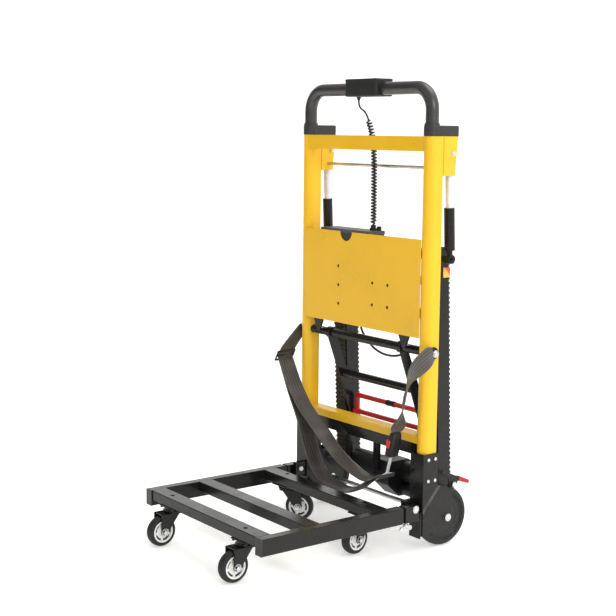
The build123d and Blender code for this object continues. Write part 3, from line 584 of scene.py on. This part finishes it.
def caster_hub(shape, centre, axis, radius):
    """A moulded caster hub: bright lip, web set back behind it, raised middle."""
    for edge in (-1, 1):
        lathe(shape, centre, axis, [(edge * 4, 12), (edge * 10.5, 12), (edge * 11.4, 11),
                                    (edge * 14.5, 10), (edge * 14.5, 4.2), (edge * 2, 4.2)], 40)
        lathe(shape, centre, axis, [(edge * 5, radius), (edge * 11.4, radius),
                                    (edge * 11.9, radius - 1), (edge * 11.2, radius - 4.4),
                                    (edge * 5, radius - 4.4)], 56)
        lathe(shape, centre, axis, [(edge * 3, 11.5), (edge * 8.2, 11.5),
                                    (edge * 7.4, radius - 4), (edge * 3, radius - 4)], 56)
    lathe(shape, centre, axis, [(-3, radius - 0.5), (3, radius - 0.5), (3, 4.2), (-3, 4.2)], 40)


def caster_slot_shades(shape, centre, axis, radius):
    """The curved lightening slots in a caster's web, drawn as flat black patches on the web:
    painted shade in place of the dark openings.
    """
    line, side, other = axis_frame(axis)
    for edge in (-1, 1):
        for slot in range(5):
            rim = []
            for reach, order in ((radius - 4.9, 1), (radius - 9.2, -1)):
                for step in range(9)[::order]:
                    angle = math.radians(72 * slot + 6.2 * step + 12)
                    out = math.cos(angle) * side + math.sin(angle) * other
                    rim.append(centre + (line * edge * 7.2 + out * reach) * MM)
            prism(shape, rim, edge * line, 1.1)


def make_casters():
    names = ("front_left", "front_right", "rear_left", "rear_right")
    for name in names:
        joint = JOINTS["roll_" + name]
        centre = Vector(joint["pos_m"])
        axis = Vector(joint["axis"])
        low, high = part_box("caster_wheel_" + name)
        radius = (high.z - low.z) / 2 / MM
        tyre = bmesh.new()
        profile = [(-11, radius - 10.5), (-12, radius - 6)]
        for step in range(9):
            angle = math.pi * (0.12 + 0.76 * step / 8)
            profile.append((-12 * math.cos(angle), radius - 5.6 + 5.6 * math.sin(angle)))
        profile += [(12, radius - 6), (11, radius - 10.5)]
        lathe(tyre, centre, axis, profile, 72)
        finish_piece("caster_tyre_" + name, from_bmesh(tyre, "tyre"), "rubber", "roller_" + name,
                     ("caster_wheel_" + name,))
        hub = bmesh.new()
        caster_hub(hub, centre, axis, radius - 10.4)
        finish_piece("caster_hub_" + name, from_bmesh(hub, "hub"), "hub",
                     "roller_" + name, smooth=False, soft=0.5)
        # Painted shade: black patches on the web where the slots' openings look dark.
        slots = bmesh.new()
        caster_slot_shades(slots, centre, axis, radius - 10.4)
        finish_piece("caster_slot_shades_" + name, from_bmesh(slots, "slots"), "plastic",
                     "roller_" + name, smooth=False)
        line = axis.normalized()
        nuts = bmesh.new()
        for edge in (-1, 1):
            seat = centre + edge * line * 19 * MM
            washer(nuts, seat, edge * line, 10, 1.6, 28)
            hex_head(nuts, seat + edge * line * 1.6 * MM, edge * line, 14, 5)
            dome(nuts, seat + edge * line * 6.4 * MM, edge * line, 4.6, 1.8)
        finish_piece("caster_nuts_" + name, from_bmesh(nuts, "nuts"), "zinc",
                     "fork_" + name, smooth=False, soft=0.3)
        swivel = JOINTS["swivel_" + name]
        top = Vector(swivel["pos_m"])
        race = bmesh.new()
        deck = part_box("platform_crossbars")[0].z
        height = (deck - top.z) / MM
        lathe(race, top, (0, 0, 1), [(1.5, 5), (1.5, 20), (3, 23), (5, 24), (7, 23.4), (8.5, 21),
                                     (height - 3, 20), (height - 3, 5)], 48)
        for corner in ((-1, -1), (-1, 1), (1, -1), (1, 1)):
            spot = top + Vector((corner[0] * 24 * MM, corner[1] * 16 * MM, (height - 3) * MM))
            hex_head(race, spot, (0, 0, -1), 8, 4)
        finish_piece("caster_race_" + name, from_bmesh(race, "race"), "black", "platform",
                     smooth=False, soft=0.4)


# ---------------------------------------------------------------- fasteners
# Where each sits, as (y, z) in mm. The wing screws' place is (x, y).
BRACKET_BOLT = (72, 965)
PLATFORM_PIVOT = (-22, 111)
PEDAL_BOLT = (97, 156)
WHEEL_AXLE = (82.5, 74)
STRAP_ANCHOR = (22, 490)
BOOT_RIVETS = ((14, 229), (36, 229), (14, 176), (36, 176))
BOOT_FACE = 256
WING_SCREW = (247, -48)


def washer(shape, seat, axis, radius, thick, segments):
    """A flat ring with a 2 mm hole, standing on its seat."""
    lathe(shape, seat, axis, [(0, 2), (0, radius), (thick, radius), (thick, 2)], segments)


def shank(shape, seat, axis, radius, start, end, segments=24):
    """A solid round bar between two distances along its axis."""
    lathe(shape, seat, axis, [(start, 0.1), (start, radius), (end, radius), (end, 0.1)], segments)


def make_bolts():
    bolts = bmesh.new()
    for side in (-1, 1):
        out = (side, 0, 0)
        back = (-side, 0, 0)
        for face, spot, across in ((253, BRACKET_BOLT, 10), (252.7, PLATFORM_PIVOT, 15)):
            washer(bolts, at(side * face, *spot), out, across * 0.62, 1.2, 32)
            dome(bolts, at(side * (face + 1.2), *spot), out, across * 0.5, 4.2, 28)
            shank(bolts, at(side * (face + 5), *spot), out, across * 0.22, 0, 0.5, 6)
        hex_head(bolts, at(side * 211, *BRACKET_BOLT), back, 10, 5)
        hex_head(bolts, at(side * 214, *PLATFORM_PIVOT), back, 13, 6)
        shank(bolts, at(side * 250, *BRACKET_BOLT), back, 4, -2, 36)
        shank(bolts, at(side * 254, *PLATFORM_PIVOT), back, 5, 0, 42)
    shank(bolts, at(250.6, *PEDAL_BOLT), (1, 0, 0), 4.5, 0, 8)
    hex_head(bolts, at(257, *PEDAL_BOLT), (1, 0, 0), 13, 5.5)
    finish_piece("bolts", from_bmesh(bolts, "bolts"), "zinc", "frame",
                 ("frame_bolts",), smooth=False, soft=0.35)

    rivets = bmesh.new()
    for side in (-1, 1):
        for spot in BOOT_RIVETS:
            dome(rivets, at(side * BOOT_FACE, *spot), (side, 0, 0), 4.4, 2.0, 24)
    finish_piece("rivets", from_bmesh(rivets, "rivets"), "zinc", "frame",
                 ("boot_rivets",))

    nuts = bmesh.new()
    for side in (-1, 1):
        out = (side, 0, 0)
        seat = at(side * 250.5, *WHEEL_AXLE)
        washer(nuts, seat, out, 8.6, 1.2, 36)
        hex_head(nuts, seat + Vector((side * 1.2 * MM, 0, 0)), out, 13, 4.6)
        dome(nuts, seat + Vector((side * 5.8 * MM, 0, 0)), out, 4, 2.2, 24)
    finish_piece("axle_nuts", from_bmesh(nuts, "nuts"), "zinc", "frame",
                 smooth=False, soft=0.3)


def make_wing_screws():
    for side, name in ((-1, "left"), (1, "right")):
        x = side * WING_SCREW[0]
        y = WING_SCREW[1]
        shape = bmesh.new()
        lathe(shape, at(x, y, 80.4), (0, 0, -1), [(0, 0.1), (0, 3.2), (3, 3.2), (3, 6.6), (4.5, 7),
                                                  (10, 6.6), (13, 5.2), (13, 0.1)], 28)
        for edge in (-1, 1):
            corners = [at(x - 1.9, y + edge * reach, z)
                       for reach, z in ((3, 76), (9, 74), (16, 73), (19, 69), (18.5, 63.5),
                                        (14, 61), (8, 63), (4, 68))]
            prism(shape, corners, (1, 0, 0), 3.8)
        finish_piece("wing_screw_" + name, from_bmesh(shape, "wing"), "zinc", "platform",
                     ("lock_screws",), smooth=False, soft=0.9)


def make_anchor_bolts():
    shape = bmesh.new()
    for side in (-1, 1):
        out = Vector((side, 0, 0))
        seat = at(side * 253, *STRAP_ANCHOR)
        lathe(shape, seat, out, [(0, 3), (0, 15), (2, 15.6), (4, 14.6), (5.9, 9), (5.9, 3)], 40)
    finish_piece("anchor_bushes", from_bmesh(shape, "bushes"), "black", "frame",
                 ("strap_anchors",), smooth=False, soft=0.5)
    bolts = bmesh.new()
    for side in (-1, 1):
        out = Vector((side, 0, 0))
        seat = at(side * 264, *STRAP_ANCHOR)
        lathe(bolts, seat, out,
              [(-5.5, 0.1), (-5.5, 4.6), (-1.4, 4.6), (-1.4, 9), (0, 9), (0, 0.1)], 36)
        dome(bolts, seat, out, 7, 4.4, 28)
    finish_piece("anchor_bolts", from_bmesh(bolts, "anchor_bolts"), "zinc", "frame")


make_main_wheels()
make_casters()
make_bolts()
make_wing_screws()
make_anchor_bolts()


# ---------------------------------------------------------------- harness
def catmull(values, share):
    """A smooth curve through four neighbouring values."""
    before, here, there, after = values
    return 0.5 * (2 * here + (there - before) * share
                  + (2 * before - 5 * here + 4 * there - after) * share ** 2
                  + (3 * here - before - 3 * there + after) * share ** 3)


def band(name, stations, key="webbing", replaces=(), thick=1.5, divisions=9,
         ripple=0.0, phase=0.0):
    """A flat woven band through stations of (centre, direction across, half width) in mm."""
    rows = []
    for place in range(len(stations) - 1):
        around = [stations[min(max(place + offset, 0), len(stations) - 1)]
                  for offset in (-1, 0, 1, 2)]
        for step in range(divisions):
            share = step / divisions
            centre = catmull([Vector(s[0]) for s in around], share)
            across = catmull([Vector(s[1]).normalized() for s in around], share).normalized()
            half = catmull([s[2] for s in around], share)
            rows.append((centre, across, half))
    last = stations[-1]
    rows.append((Vector(last[0]), Vector(last[1]).normalized(), last[2]))
    mesh_rows = []
    columns = 12
    travelled = 0.0
    for place, (centre, across, half) in enumerate(rows):
        ahead = (rows[min(place + 1, len(rows) - 1)][0] - rows[max(place - 1, 0)][0]).normalized()
        face = across.cross(ahead).normalized()
        if place:
            travelled += (centre - rows[place - 1][0]).length
        row = []
        for column in range(columns + 1):
            share = 2 * column / columns - 1
            curl = ripple * (share ** 2 - 0.4) + 0.5 * ripple * math.sin(
                travelled * 0.035 + 3 * share + phase)
            row.append((centre + across * half * share + face * curl, face, (share + 1) / 2,
                        travelled))
        mesh_rows.append(row)
    shape = bmesh.new()
    uv = shape.loops.layers.uv.new("UVMap")
    sheets = []
    for lift in (-0.5, 0.5):
        sheets.append([[(shape.verts.new(at(*(point + face * lift * thick))), u, v)
                        for point, face, u, v in row] for row in mesh_rows])

    def patch(*corners):
        made = shape.faces.new([corner[0] for corner in corners])
        for loop, corner in zip(made.loops, corners):
            loop[uv].uv = (corner[1], corner[2] * MM)

    for sheet in sheets:
        for low, high in zip(sheet, sheet[1:]):
            for left in range(columns):
                patch(low[left], low[left + 1], high[left + 1], high[left])
    for low_row in range(len(mesh_rows) - 1):
        for column in (0, columns):
            patch(sheets[0][low_row][column], sheets[0][low_row + 1][column],
                  sheets[1][low_row + 1][column], sheets[1][low_row][column])
    for row in (0, len(mesh_rows) - 1):
        for column in range(columns):
            patch(sheets[0][row][column], sheets[0][row][column + 1],
                  sheets[1][row][column + 1], sheets[1][row][column])
    return finish_piece(name, from_bmesh(shape, name), key, "frame", replaces)


# The harness: the webbing's middle plane, its anchors, and the feet of tongue and buckle (x, z).
WEB_Y = -40.0
ANCHOR_X = 262.2
TONGUE_FOOT = (160, 178)
BUCKLE_FOOT = (171.5, 229.5)


def flat_station(x, z, half=24.0, y=WEB_Y):
    return ((x, y, z), (0, 1, 0), half)


def crumple(piece):
    """Gives the piece its own copy of its mesh data."""
    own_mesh(piece)


def make_webbing():
    drop = [((-ANCHOR_X, 24, 497), (0, 1, -0.1), 15), ((-ANCHOR_X, 14, 484), (0, 1, -0.05), 20),
            ((-ANCHOR_X - 1, -6, 462), (0, 1, 0), 23.5),
            ((-ANCHOR_X - 2, -28, 436), (0.05, 1, 0), 24),
            ((-ANCHOR_X, WEB_Y, 412), (0, 1, 0), 24)]
    upper = band("webbing_drop", drop, replaces=("webbing_left",), ripple=1.2)
    outer = [flat_station(-ANCHOR_X, 412), flat_station(-241, 372), flat_station(-216, 327),
             flat_station(-190, 286), flat_station(-168, 245), flat_station(-150, 203),
             flat_station(-127, 163), flat_station(-100, 132), flat_station(-62, 113),
             flat_station(-12, 108), ((32, WEB_Y, 114), (0, 1, 0.2), 24),
             ((72, WEB_Y, 135), (0, 0.85, 0.5), 24), ((110, WEB_Y, 153), (0, 0.85, 0.5), 24),
             ((142, WEB_Y, 168), (0, 1, 0.2), 24), flat_station(161, 178)]
    lower_run = band("webbing_outer", outer, ripple=1.6)
    inner = [flat_station(-ANCHOR_X + 3, 408), flat_station(-236, 371), flat_station(-206, 329),
             flat_station(-172, 292), flat_station(-130, 262), flat_station(-98, 242),
             flat_station(-60, 214), flat_station(-22, 190), flat_station(20, 172),
             flat_station(66, 160), flat_station(112, 157), flat_station(161, 181)]
    inner_run = band("webbing_inner", inner, ripple=1.4, phase=1.7)
    right = [((ANCHOR_X, 14, 491), (0, 0.35, -1), 18), ((ANCHOR_X + 3, 0, 486), (0, 0.4, -1), 24),
             ((ANCHOR_X + 3, -14, 477), (0, 0.5, -1), 25), ((259, -29, 463), (-0.1, 0.6, -0.9), 26),
             ((248, -38, 443), (-0.3, 0.8, -0.6), 24), ((235, -38, 416), (-0.62, 0.78, -0.2), 20),
             ((223, -36, 388), (-0.8, 0.6, 0.1), 16), ((213, -34, 358), (-0.78, 0.62, 0), 17),
             ((206, -34, 334), (-0.5, 0.85, 0), 20), ((199, -33, 315), (-0.1, 1, 0), 23),
             ((194, -33, 303), (0.1, 1, 0), 21), ((190, -33, 292), (0, 1, 0), 16)]
    right_run = band("webbing_right_run", right, replaces=("webbing_right",), ripple=1.8)
    for piece in (upper, lower_run, inner_run, right_run):
        crumple(piece)


def make_strap_fittings():
    slider = bmesh.new()
    lean = Vector((0.5, 0, 0.85)).normalized()
    out = Vector((-0.85, 0, 0.5)).normalized()
    centre = at(-ANCHOR_X + 1, WEB_Y, 416)
    for offset in (-14, 0, 14):
        thick = 2.6
        middle = centre + lean * offset * MM + out * 2.2 * MM
        corners = [middle + (lean * a + out * b) * MM + Vector((0, -29 * MM, 0))
                   for a, b in ((-thick, -1.8), (thick, -1.8), (thick, 1.8), (-thick, 1.8))]
        prism(slider, corners, (0, 1, 0), 58)
    for edge in (-1, 1):
        middle = centre + out * 2.2 * MM + Vector((0, edge * 27 * MM, 0))
        corners = [middle + (lean * a + out * b) * MM + Vector((0, -2 * MM, 0))
                   for a, b in ((-15, -1.8), (15, -1.8), (15, 1.8), (-15, 1.8))]
        prism(slider, corners, (0, 1, 0), 4)
    piece = finish_piece("strap_slider", from_bmesh(slider, "slider"), "plastic", "frame",
                         ("strap_fittings",), smooth=False, soft=0.8)
    crumple(piece)
    tongue = bmesh.new()
    run = Vector((0.3, 0, 1)).normalized()
    face = Vector((-1, 0, 0.3)).normalized()
    base = at(TONGUE_FOOT[0], WEB_Y + 3, TONGUE_FOOT[1])
    outline = ((-3, -24), (4, -24), (6, -8), (9, -4.5), (52, -4.5), (52, 4.5), (9, 4.5), (6, 8),
               (4, 24), (-3, 24))
    corners = [base + (run * a + face * -1.2) * MM + Vector((0, b * MM, 0)) for a, b in outline]
    prism(tongue, corners, face, 2.4)
    piece = finish_piece("buckle_tongue", from_bmesh(tongue, "tongue"), "anodised", "frame",
                         smooth=False, soft=0.7)
    crumple(piece)
    sleeve = bmesh.new()
    corners = [base + (run * a + face * -2.6) * MM + Vector((0, b * MM, 0))
               for a, b in ((-6, -25), (5, -25), (5, 25), (-6, 25))]
    prism(sleeve, corners, face, 5.2)
    piece = finish_piece("tongue_loop", from_bmesh(sleeve, "loop"), "loop", "frame",
                         smooth=False, soft=2.2, segments=3)
    crumple(piece)


def make_buckle():
    """The shell's front face stops short of the button's face when the button is pressed."""
    low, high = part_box("buckle")
    run = Vector((0.27, 0, 1)).normalized()
    face = Vector((-1, 0, 0.27)).normalized()
    base = at(BUCKLE_FOOT[0], 0, BUCKLE_FOOT[1])
    base.y = (low.y + high.y) / 2
    shape = bmesh.new()
    rings = []
    sides = 36
    power = 0.34
    button_low, button_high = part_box("buckle_button")
    pressed = JOINTS["buckle_press"]["range_m"][1]
    flush = (base.y - button_low.y - pressed) / MM - 0.3
    for along, wide, thick in ((0, flush - 2, 8.6), (4, flush, 10.6), (22, flush, 11),
                               (44, flush, 10.6), (56, flush - 1.5, 9.4), (63, flush - 3.5, 7),
                               (66, flush - 5.5, 4)):
        ring = []
        for step in range(sides):
            angle = 2 * math.pi * step / sides
            side_share = math.copysign(abs(math.cos(angle)) ** power, math.cos(angle))
            face_share = math.copysign(abs(math.sin(angle)) ** power, math.sin(angle))
            ring.append(shape.verts.new(base + (run * along + face * thick * face_share) * MM
                                        + Vector((0, wide * side_share * MM, 0))))
        rings.append(ring)
    for here, there in zip(rings, rings[1:]):
        for step in range(sides):
            after = (step + 1) % sides
            shape.faces.new((here[step], here[after], there[after], there[step]))
    shape.faces.new(rings[0][::-1])
    shape.faces.new(rings[-1])
    finish_piece("buckle_shell", from_bmesh(shape, "buckle"), "plastic", "frame",
                 ("buckle",))
    middle = (button_low + button_high) / 2
    middle.y = button_high.y
    button = bmesh.new()
    corners = [middle + (run * along + face * across) * MM
               for along, across in ((-10, -5), (-8.5, -6), (8.5, -6), (10, -5), (10, 5),
                                     (8.5, 6), (-8.5, 6), (-10, 5))]
    prism(button, corners, (0, -1, 0), (button_high.y - button_low.y) / MM)
    finish_piece("buckle_press", from_bmesh(button, "button"), "red_plastic",
                 "buckle_button", ("buckle_button",), smooth=False,
                 soft=0.9, segments=3)


make_webbing()
make_strap_fittings()
make_buckle()


# ---------------------------------------------------------------- control box and pedal
def make_control_box():
    low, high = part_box("control_box")
    gland_z = at(0, 0, 1101).z
    seam = high.z - 0.004
    inset = Vector((0.0008, 0.0008, 0))
    body_low = Vector((low.x, low.y, gland_z)) + inset
    rounded_box("control_box_body", body_low, Vector((high.x, high.y, seam + 0.001)) - inset, 3.4,
                "plastic", "handle", ("control_box",), 4)
    rounded_box("control_box_lid", Vector((low.x, low.y, seam - 0.004)) + 0.6 * inset,
                high - 0.6 * inset, 2.6, "plastic", "handle", (), 4)
    screws = bmesh.new()
    for x in (low.x + 0.007, high.x - 0.007):
        for y in (low.y + 0.007, high.y - 0.007):
            dome(screws, Vector((x, y, high.z - 0.0002)), (0, 0, 1), 3, 1.0, 16)
    finish_piece("control_box_screws", from_bmesh(screws, "screws"), "zinc", "handle")
    gland = bmesh.new()
    lathe(gland, at(-50, 28, 1102), (0, 0, -1), [(0, 2.4), (0, 6.4), (2, 6.4), (2.4, 5), (9, 3.2),
                                                 (9, 2.4)], 24)
    finish_piece("control_box_gland", from_bmesh(gland, "gland"), "plastic", "handle")
    bezel = bmesh.new()
    rocker_low, rocker_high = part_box("rocker_switch")
    middle = (rocker_low + rocker_high) / 2
    face = high.y - 0.001
    outline = ((-11.5, -9.5), (11.5, -9.5), (11.5, 9.5), (-11.5, 9.5))
    outer = [bezel.verts.new(Vector((middle.x + x * MM, face + 0.0022, middle.z + z * MM)))
             for x, z in outline]
    inner = [bezel.verts.new(Vector((middle.x + x * 0.84 * MM, face + 0.0022,
                                     middle.z + z * 0.8 * MM))) for x, z in outline]
    root = [bezel.verts.new(Vector((middle.x + x * MM, face - 0.002, middle.z + z * MM)))
            for x, z in outline]
    for corner in range(4):
        after = (corner + 1) % 4
        bezel.faces.new((outer[corner], outer[after], inner[after], inner[corner]))
        bezel.faces.new((root[corner], root[after], outer[after], outer[corner]))
    finish_piece("rocker_bezel", from_bmesh(bezel, "bezel"), "plastic", "handle",
                 smooth=False, soft=0.5)
    shape = bmesh.new()
    half_x = (rocker_high.x - rocker_low.x) / 2 - 0.0002
    profile = ((-6.4, -3), (-6.4, 3.4), (0, 1.6), (6.4, 3.4), (6.4, -3))
    corners = [Vector((middle.x - half_x, face + y * MM, middle.z + z * MM)) for z, y in profile]
    prism(shape, corners, (1, 0, 0), 2 * half_x / MM)
    finish_piece("rocker_cap", from_bmesh(shape, "rocker"), "red_plastic", "rocker",
                 ("rocker_switch",), smooth=False, soft=0.7, segments=3)
    button = bmesh.new()
    button_low, button_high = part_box("power_button")
    spot = (button_low + button_high) / 2
    spot.y = face
    lathe(button, spot, (0, 1, 0), [(-5, 0.1), (-5, 6), (2.4, 6), (3.4, 5.2), (3.0, 3), (2.8, 0.1)],
          36)
    finish_piece("power_button_cap", from_bmesh(button, "power"), "red_plastic", "power_button",
                 ("power_button",))
    ring = bmesh.new()
    lathe(ring, spot, (0, 1, 0), [(-1, 6.3), (-1, 8.6), (1.4, 8.2), (1.9, 7.2), (1.4, 6.3)], 36)
    finish_piece("power_button_ring", from_bmesh(ring, "ring"), "zinc", "handle")


def make_pedal_pad():
    """The tilted pad: a wedge of rubber with ribs across its tread."""
    front = Vector((117, 172.5))
    back = Vector((152, 157.5))
    shape = bmesh.new()
    corners = [at(240, y, z) for y, z in (front, back, (149, 150), (115, 161.5))]
    prism(shape, corners, (1, 0, 0), 17)
    along = (back - front).normalized()
    up = Vector((-along.y, along.x))
    ribs = 6
    for rib in range(ribs):
        foot = front.lerp(back, (rib + 0.7) / (ribs + 0.4))
        corners = [at(242, *(foot + along * a + up * b))
                   for a, b in ((-1.4, -0.6), (1.4, -0.6), (0.8, 1.3), (-0.8, 1.3))]
        prism(shape, corners, (1, 0, 0), 13)
    finish_piece("pedal_tread", from_bmesh(shape, "pedal"), "pad", "pedal",
                 ("pedal_pad",), smooth=False, soft=0.9, segments=3)


make_control_box()
make_pedal_pad()


# ---------------------------------------------------------------- small fittings
PANEL_HOLES = ((51, 586), (51, 641), (109, 586), (109, 641), (-84, 575), (-85, 623), (-86, 672))
SLEEVE_AT = (10, 104, 314)
LABEL_X = 202
LABEL_Y = (97, 119)
LABEL_Z = (663, 688)


def make_panel_inserts():
    """Blind inserts, black inside, in the panel's screw holes."""
    shape = bmesh.new()
    for x, z in PANEL_HOLES:
        lathe(shape, at(x, -2, z), (0, -1, 0),
              [(-1.9, 0.05), (-1.9, 2.7), (0, 2.7), (0, 4), (0.35, 3.8), (0.35, 2.5),
               (-1.6, 2.3), (-1.6, 0.05)], 28)
    finish_piece("panel_inserts", from_bmesh(shape, "inserts"), "plastic", "frame",
                 smooth=False)


def make_foot_bar_grip():
    """A black wear sleeve round the foot bar's upper rod."""
    shape = bmesh.new()
    lathe(shape, at(*SLEEVE_AT), (1, 0, 0), [(-17, 6.7), (-17, 7.4), (-15, 8.2), (-5, 7.5),
                                               (5, 7.5), (15, 8.2), (17, 7.4), (17, 6.7)], 36)
    finish_piece("foot_bar_sleeve", from_bmesh(shape, "sleeve"), "plastic", "foot_bar")


def make_label():
    """A generic two-colour patch, without lettering, on the right crawler's outer side."""
    look = Look("label", edge=0)
    wave = look.add("ShaderNodeTexWave")
    wave.bands_direction = "DIAGONAL"
    wave.inputs["Scale"].default_value = 13
    look.link(look.place, wave.inputs["Vector"])
    stripes = look.spread(wave.outputs["Fac"], 0, 1, 0.49, 0.51)
    worn = look.spread(look.noise(160, 5), 0, 0.25, 0.5, 0.7)
    colour = look.mix(stripes, (0.9, 0.42, 0.03), (0.62, 0.05, 0.02))
    colour = look.mix(worn, colour, (0.85, 0.62, 0.4))
    M["label"] = look.finish(colour, look.spread(look.noise(60), 0.3, 0.45))
    shape = bmesh.new()
    corners = [at(LABEL_X, y, z) for y, z in ((LABEL_Y[0], LABEL_Z[0]), (LABEL_Y[1], LABEL_Z[0]),
                                          (LABEL_Y[1], LABEL_Z[1]), (LABEL_Y[0], LABEL_Z[1]))]
    prism(shape, corners, (1, 0, 0), 0.3)
    finish_piece("label_patch", from_bmesh(shape, "label"), "label", "crawler",
                 smooth=False)


make_panel_inserts()
make_foot_bar_grip()
make_label()


# ---------------------------------------------------------------- floor and light
def make_stage():
    """A pale floor that curves up behind the trolley, a graded sky and three soft lamps."""
    look = Look("floor", edge=0)
    base = look.mix(look.spread(look.noise(0.8, 3), 0, 1), (0.84, 0.84, 0.83), (0.88, 0.88, 0.87))
    material = look.finish(base, look.spread(look.noise(3), 0.45, 0.6))
    look.link(base, look.shader.inputs["Emission Color"])
    look.shader.inputs["Emission Strength"].default_value = 0.45
    shape = bmesh.new()
    depth = 7.0
    wide = 9.0
    rows = []
    for y, z in ((-6, 0), (depth - 1.5, 0), (depth - 0.7, 0.1), (depth - 0.2, 0.5),
                 (depth, 1.2), (depth, 6)):
        rows.append((shape.verts.new((-wide, y, z)), shape.verts.new((wide, y, z))))
    for low, high in zip(rows, rows[1:]):
        shape.faces.new((low[0], low[1], high[1], high[0]))
    mesh = from_bmesh(shape, "floor")
    floor = bpy.data.objects.new("floor", mesh)
    bpy.context.collection.objects.link(floor)
    floor.rotation_euler.z = CAMERA_YAW
    mesh.materials.append(material)
    for polygon in mesh.polygons:
        polygon.use_smooth = True

    # The sky is brightest on the key lamp's side and nearly dark opposite.
    world = bpy.data.worlds.new("world")
    bpy.context.scene.world = world
    world.use_nodes = True
    world.node_tree.nodes["Background"].inputs["Color"].default_value = (1, 1, 1, 1)
    nodes = world.node_tree.nodes
    links = world.node_tree.links
    heading = nodes.new("ShaderNodeTexCoord")
    towards = nodes.new("ShaderNodeVectorMath")
    towards.operation = "DOT_PRODUCT"
    towards.inputs[1].default_value = Vector((0.8, 0.5, 0.3)).normalized()
    links.new(heading.outputs["Generated"], towards.inputs[0])
    strength = nodes.new("ShaderNodeMapRange")
    strength.inputs["From Min"].default_value = -1
    strength.inputs["To Min"].default_value = 0.02
    strength.inputs["To Max"].default_value = 1.3
    links.new(towards.outputs["Value"], strength.inputs["Value"])
    links.new(strength.outputs["Result"], nodes["Background"].inputs["Strength"])

    bpy.context.scene.view_settings.view_transform = "Standard"

    def area(name, place, target, size, power, colour=(1, 1, 1)):
        data = bpy.data.lights.new(name, "AREA")
        data.color = colour
        data.shape = "DISK"
        data.size = size
        data.energy = power
        lamp = bpy.data.objects.new(name, data)
        bpy.context.collection.objects.link(lamp)
        lamp.location = place
        lamp.rotation_euler = (Vector(target) - Vector(place)).to_track_quat("-Z", "Y").to_euler()

    area("key", (3.4, -0.4, 2.4), (0, 0, 0.5), 1.6, 40)
    area("fill", (-1.2, -3.4, 2.4), (0, 0, 0.5), 2.2, 10)
    area("top", (0.5, 0.9, 3.6), (0, 0, 0.3), 2.2, 44, (1, 0.95, 0.86))


make_stage()
